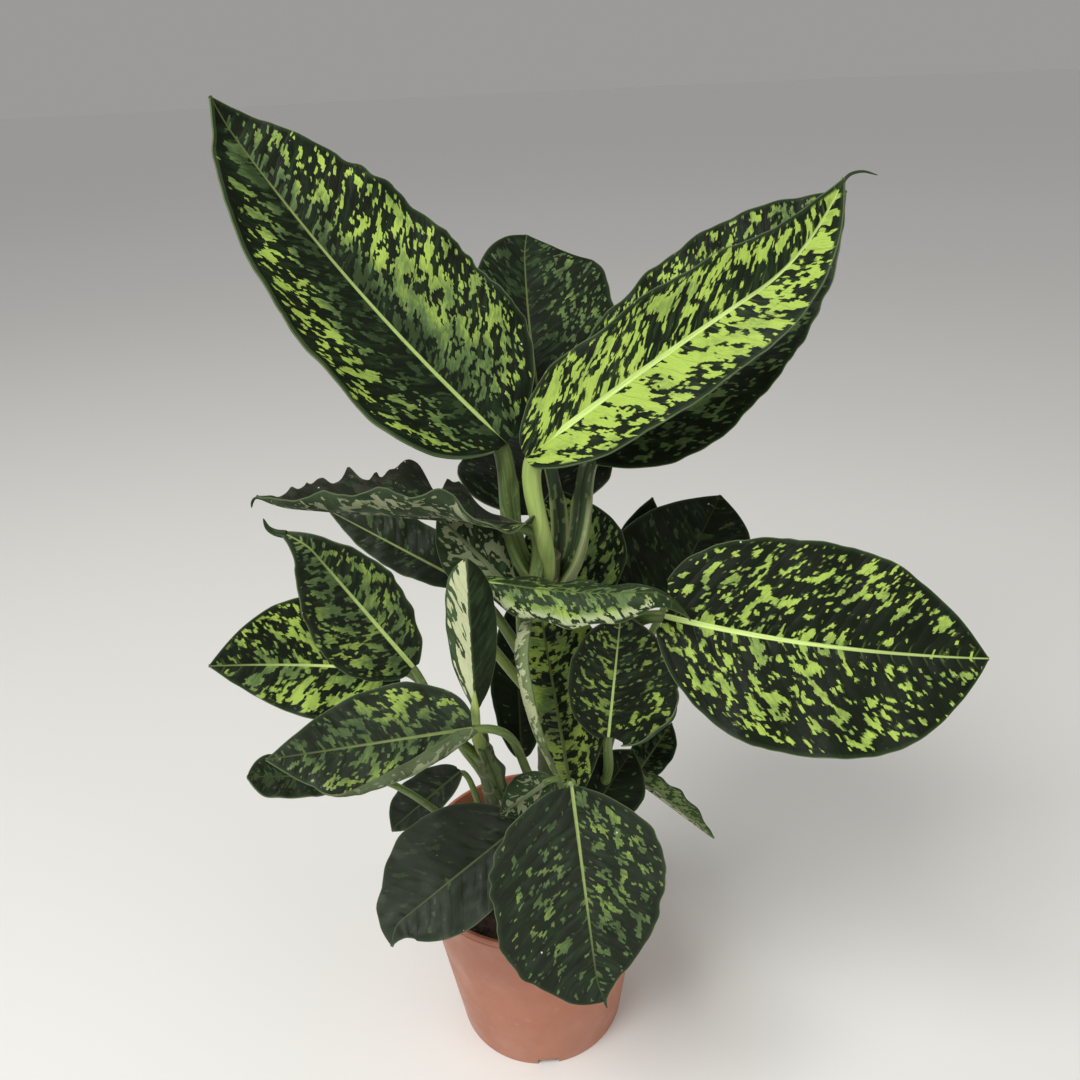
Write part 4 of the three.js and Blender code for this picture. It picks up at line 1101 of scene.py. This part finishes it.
class PLANT_OT_leaves(bpy.types.Operator):
    """Add the leaves, each a marked blade on its petiole"""

    bl_idname = "mesh.dieffenbachia_leaves"
    bl_label = "Leaves"

    def execute(self, context):
        sizes = context.scene.dieffenbachia_leaf
        light = tint(context.scene.dieffenbachia_cane.stalk)
        upper = blade_finish("leaf_blade", sizes)
        under = blade_finish("leaf_underside", sizes, underside=True)
        stalks = {
            "green": stalk_finish("petiole_green", light, tint(light, 0.6)),
            "pale": stalk_finish("petiole_pale", (0.36, 0.47, 0.13), (0.3, 0.4, 0.1)),
            # The sheathed petioles carry painted shade in their channels, in the face colour
            "sheath": stalk_finish("petiole_sheathed", (0.2, 0.27, 0.08), (0.12, 0.17, 0.045),
                                   face=(0.045, 0.075, 0.025)),
        }
        for number, (name, leaf) in enumerate(LEAVES.items()):
            shape, layers = new_shape("veins", "edges", "paint", *MARK_LAYERS)
            add_blade(shape, layers, leaf, number, sizes)
            add_petiole(shape, layers, leaf, number)
            if "tail" in leaf:
                add_tail(shape, layers, leaf, number)
            make_piece(f"{name}_blade_and_petiole", shape, (upper, under, stalks[leaf["stalk"]]),
                       name)
        return {"FINISHED"}


class PLANT_OT_canes(bpy.types.Operator):
    """Add the canes, with leaf scars and growth rings"""

    bl_idname = "mesh.dieffenbachia_canes"
    bl_label = "Canes"

    def execute(self, context):
        sizes = context.scene.dieffenbachia_cane
        bark = cane_finish(sizes)
        gap = sizes.ring_gap / MM
        for number, (name, cane) in enumerate(CANES.items()):
            shape, layers = new_shape("veins", "edges")
            path = cane_path(cane, CANE_STEPS)
            total = path_length(path)
            wide, narrow = cane["radii"]

            def section(t, angle):
                x, y = math.cos(angle), math.sin(angle)
                wobble = 1.6 * noise.noise((x, y, number + 3 * t))
                ring = (t * total + wobble) % gap / gap
                ridge = math.exp(-(((ring - 0.5) / 0.09) ** 2))
                lump = 0.35 * noise.noise((2 * x, 2 * y, number + 9 * t))
                close = min(1, (1 - t) * total / 5) ** 0.5
                radius = (wide + (narrow - wide) * t) * 1.02 + 0.45 * ridge + lump
                return radius * close + 0.05, ridge

            wrap_tube(shape, layers, path, lambda t: Vector((0, -1, 0)), section, CANE_SIDES, 0,
                      number * CANE_APART)
            make_piece(f"cane_{name}_bark", shape, (bark,), f"cane_{name}")
        return {"FINISHED"}


class PLANT_OT_soil(bpy.types.Operator):
    """Add the soil, lumpy on top, with loose crumbs"""

    bl_idname = "mesh.dieffenbachia_soil"
    bl_label = "Soil"

    def execute(self, context):
        sizes, pot = context.scene.dieffenbachia_soil, context.scene.dieffenbachia_pot
        top, crown = sizes.top / MM, sizes.crown / MM
        foot, rim, wall = pot.foot_radius / MM, pot.rim_radius / MM, pot.wall / MM
        slope = (rim - 2.4 - foot) / (pot.height / MM - 8)
        radius = foot - wall - 0.6 + slope * top - 1.0

        def swell(x, y):
            """How far the soil rises at a place over its level at the wall."""
            out = math.hypot(x, y)
            rise = crown * max(0, 1 - (out / CROWN_REACH) ** 2)
            rise -= 2.0 * max(0, 1 - abs(out - DIP) / DIP_WIDE)
            return rise + 1.6 * noise.fractal((x / LUMP_LONG, y / LUMP_LONG, 0), 0.9, 2.1, 4)

        rings = 26
        low, corner = 5.5, foot - wall
        outline = [(0, low), (corner - 4, low), (corner - 0.6, 9), (radius - 0.4, top - 3)]
        outline += [((radius - 0.2) * (1 - k / rings), top) for k in range(rings + 1)]
        shape = turned_shape(outline, SOIL_SIDES)
        for vert in shape.verts:
            if vert.co.z >= top - 1:
                edge = min(1, (radius - vert.co.xy.length) / 5)
                vert.co.z += swell(vert.co.x, vert.co.y) * edge
        scatter = random.Random(CRUMB_SEED)
        for k in range(sizes.crumbs):
            out = (radius - 4) * scatter.random() ** 0.5
            turn = 2 * math.pi * scatter.random()
            size = 0.7 + 2.0 * scatter.random() ** 2
            crumb = bmesh.ops.create_icosphere(shape, subdivisions=1, radius=size)["verts"]
            x, y = out * math.cos(turn), out * math.sin(turn)
            for vert in crumb:
                vert.co *= 1 + 0.3 * noise.noise(vert.co * 1.3 + Vector((k, 0, 0)))
                vert.co.z *= 0.75
            bmesh.ops.rotate(shape, verts=crumb, cent=(0, 0, 0),
                             matrix=Matrix.Rotation(turn * 5, 3, "Z"))
            bmesh.ops.translate(shape, verts=crumb, vec=(x, y, top + swell(x, y) + 0.2))
        make_piece("soil_peat", shape, (soil_finish(sizes),), "soil", sharp=60)
        return {"FINISHED"}


class PLANT_OT_pot(bpy.types.Operator):
    """Add the nursery pot, with its rim band, notched foot and drain holes"""

    bl_idname = "mesh.dieffenbachia_pot"
    bl_label = "Pot"

    def execute(self, context):
        sizes = context.scene.dieffenbachia_pot
        height, rim, foot, wall = (part / MM for part in (
            sizes.height, sizes.rim_radius, sizes.foot_radius, sizes.wall))
        shoulder = height - sizes.rim_band / MM
        inner, mouth, neck, floor = foot - 3.2, rim - wall, rim - 1.8, 3.6

        # From the middle of the underside to the foot, up the wall, over the rim and down inside
        outline = [
            (0, 0), (25, 0), (27.5, floor), (inner - 3, floor), (inner - 0.6, 0.5), (inner, 0),
            (foot - 0.9, 0), (foot - 0.25, 0.3), (foot, 0.9),
            (foot + 0.5 * (neck - foot), shoulder / 2), (neck, shoulder - 1.5),
            (rim - 1.0, shoulder - 0.5), (rim - 0.2, shoulder + 0.4), (rim, shoulder + 1.2),
            (rim, shoulder + 2.4), (rim - 0.35, shoulder + 2.9), (rim, shoulder + 3.4),
            (rim, height - 0.9), (rim - 0.3, height - 0.2), (rim - 0.8, height),
            (mouth - 0.4, height), (mouth - 0.9, height - 0.3), (mouth - 1.2, height - 1),
            (mouth - 2.4, shoulder - 3), (foot - wall, 5.6 + wall), (foot - wall - 2, floor + wall),
            (28.5, floor + wall), (26, wall), (0, wall),
        ]
        shape = turned_shape(outline, POT_SIDES)
        cutters = [self.notch(-87 + 90 * k) for k in range(4)]
        cutters += [self.drain(60 * (k + 0.5)) for k in range(6)]
        piece = make_piece(
            "pot_nursery", shape, (pot_finish(sizes),), "pot", sharp=32)
        for cutter in cutters:
            cut = piece.modifiers.new("opening", "BOOLEAN")
            cut.operation, cut.solver, cut.object = "DIFFERENCE", "MANIFOLD", cutter
        view = context.evaluated_depsgraph_get()
        finished = bpy.data.meshes.new_from_object(piece.evaluated_get(view))
        piece.modifiers.clear()
        piece.data = finished
        for cutter in cutters:
            bpy.data.objects.remove(cutter)
        return {"FINISHED"}

    def notch(self, degrees, size=(14, 16, 12.4), out=64):
        """A rounded block that cuts an arch into the foot."""
        shape = bmesh.new()
        bmesh.ops.create_cube(shape, size=1)
        bmesh.ops.scale(shape, vec=size, verts=shape.verts)
        crowns = []
        for edge in shape.edges:
            one, other = (vert.co for vert in edge.verts)
            if one.z > 0 and other.z > 0 and one.y * other.y > 0:
                crowns.append(edge)
        bmesh.ops.bevel(shape, geom=crowns, offset=1.6, segments=4, profile=0.5,
                        affect="EDGES", material=-1)
        return self.placed(shape, degrees, (out, 0, 0))

    def drain(self, degrees, radius=4.5, depth=12, out=43):
        """A rod that cuts a round hole through the floor."""
        shape = bmesh.new()
        bmesh.ops.create_cone(shape, cap_ends=True, segments=24, radius1=radius, radius2=radius,
                              depth=depth)
        return self.placed(shape, degrees, (out, 0, 4))

    @staticmethod
    def placed(shape, degrees, place):
        bmesh.ops.translate(shape, verts=shape.verts, vec=place)
        bmesh.ops.rotate(shape, verts=shape.verts, cent=(0, 0, 0),
                         matrix=Matrix.Rotation(math.radians(degrees), 3, "Z"))
        bmesh.ops.scale(shape, vec=(MM, MM, MM), verts=shape.verts)
        return add_shape("opening_tool", shape)


class PLANT_OT_stage(bpy.types.Operator):
    """Add the camera, the pale floor and the soft lights"""

    bl_idname = "mesh.dieffenbachia_stage"
    bl_label = "Stage"

    def execute(self, context):
        light = context.scene.dieffenbachia_stage
        self.add_camera(context)
        shape = bmesh.new()
        bmesh.ops.create_circle(shape, cap_ends=True, radius=40, segments=96)
        floor = add_shape("floor", shape)
        floor.data.materials.append(floor_finish(light))
        self.add_light("key_light", *KEY_LIGHT, light.key_power)
        self.add_light("fill_light", *FILL_LIGHT, light.fill_power)
        world = bpy.data.worlds.new("surround")
        world.use_nodes = True
        sky = world.node_tree.nodes["Background"]
        sky.inputs["Color"].default_value = (1.0, 0.985, 0.96, 1)
        sky.inputs["Strength"].default_value = light.sky
        context.scene.world = world
        context.scene.view_settings.view_transform = "Standard"
        return {"FINISHED"}

    @staticmethod
    def add_camera(context):
        level = Vector((1, 0, 0))
        ahead = Vector((0, math.cos(PITCH), -math.sin(PITCH)))
        upright = Vector((0, math.sin(PITCH), math.cos(PITCH)))
        right = math.cos(ROLL) * level + math.sin(ROLL) * upright
        top = -math.sin(ROLL) * level + math.cos(ROLL) * upright
        lens = bpy.data.cameras.new("camera")
        lens.sensor_width = SENSOR
        lens.lens = SENSOR * FOCAL / PICTURE
        lens.clip_start = 0.02
        camera = add_object("camera", lens)
        turn = Matrix((right, top, -ahead)).transposed().to_4x4()
        camera.matrix_world = Matrix.Translation(CAMERA_PLACE) @ turn
        context.scene.camera = camera

    @staticmethod
    def add_light(name, place, size, power):
        lamp = bpy.data.lights.new(name, "AREA")
        lamp.shape, lamp.size, lamp.energy = "DISK", size, power
        source = add_object(name, lamp)
        source.location = place
        source.rotation_euler = (LIT_SPOT - Vector(place)).to_track_quat("-Z", "Y").to_euler()


class PLANT_PT_panel(bpy.types.Panel):
    """The plant's sizes, and a button for each group of pieces"""

    bl_label = "Potted dieffenbachia"
    bl_idname = "PLANT_PT_panel"
    bl_space_type = "VIEW_3D"
    bl_region_type = "UI"
    bl_category = "Plant"

    def draw(self, context):
        for group, (settings, operator) in GROUPS.items():
            box = self.layout.box()
            for name in settings.__annotations__:
                box.prop(getattr(context.scene, group), name)
            box.operator(operator.bl_idname)


GROUPS = {
    "dieffenbachia_stage": (StageLight, PLANT_OT_stage),
    "dieffenbachia_pot": (PotSizes, PLANT_OT_pot),
    "dieffenbachia_soil": (SoilSizes, PLANT_OT_soil),
    "dieffenbachia_cane": (CaneSizes, PLANT_OT_canes),
    "dieffenbachia_leaf": (LeafSizes, PLANT_OT_leaves),
}
CLASSES = [made for pair in GROUPS.values() for made in pair] + [PLANT_PT_panel]


def register():
    for made in CLASSES:
        bpy.utils.register_class(made)
    for name, (settings, _) in GROUPS.items():
        setattr(bpy.types.Scene, name, PointerProperty(type=settings))


def unregister():
    for name in GROUPS:
        delattr(bpy.types.Scene, name)
    for made in reversed(CLASSES):
        bpy.utils.unregister_class(made)


def main():
    register()
    bpy.ops.mesh.dieffenbachia_stage()
    bpy.ops.mesh.dieffenbachia_pot()
    bpy.ops.mesh.dieffenbachia_soil()
    bpy.ops.mesh.dieffenbachia_canes()
    bpy.ops.mesh.dieffenbachia_leaves()


if __name__ == "__main__":
    main()
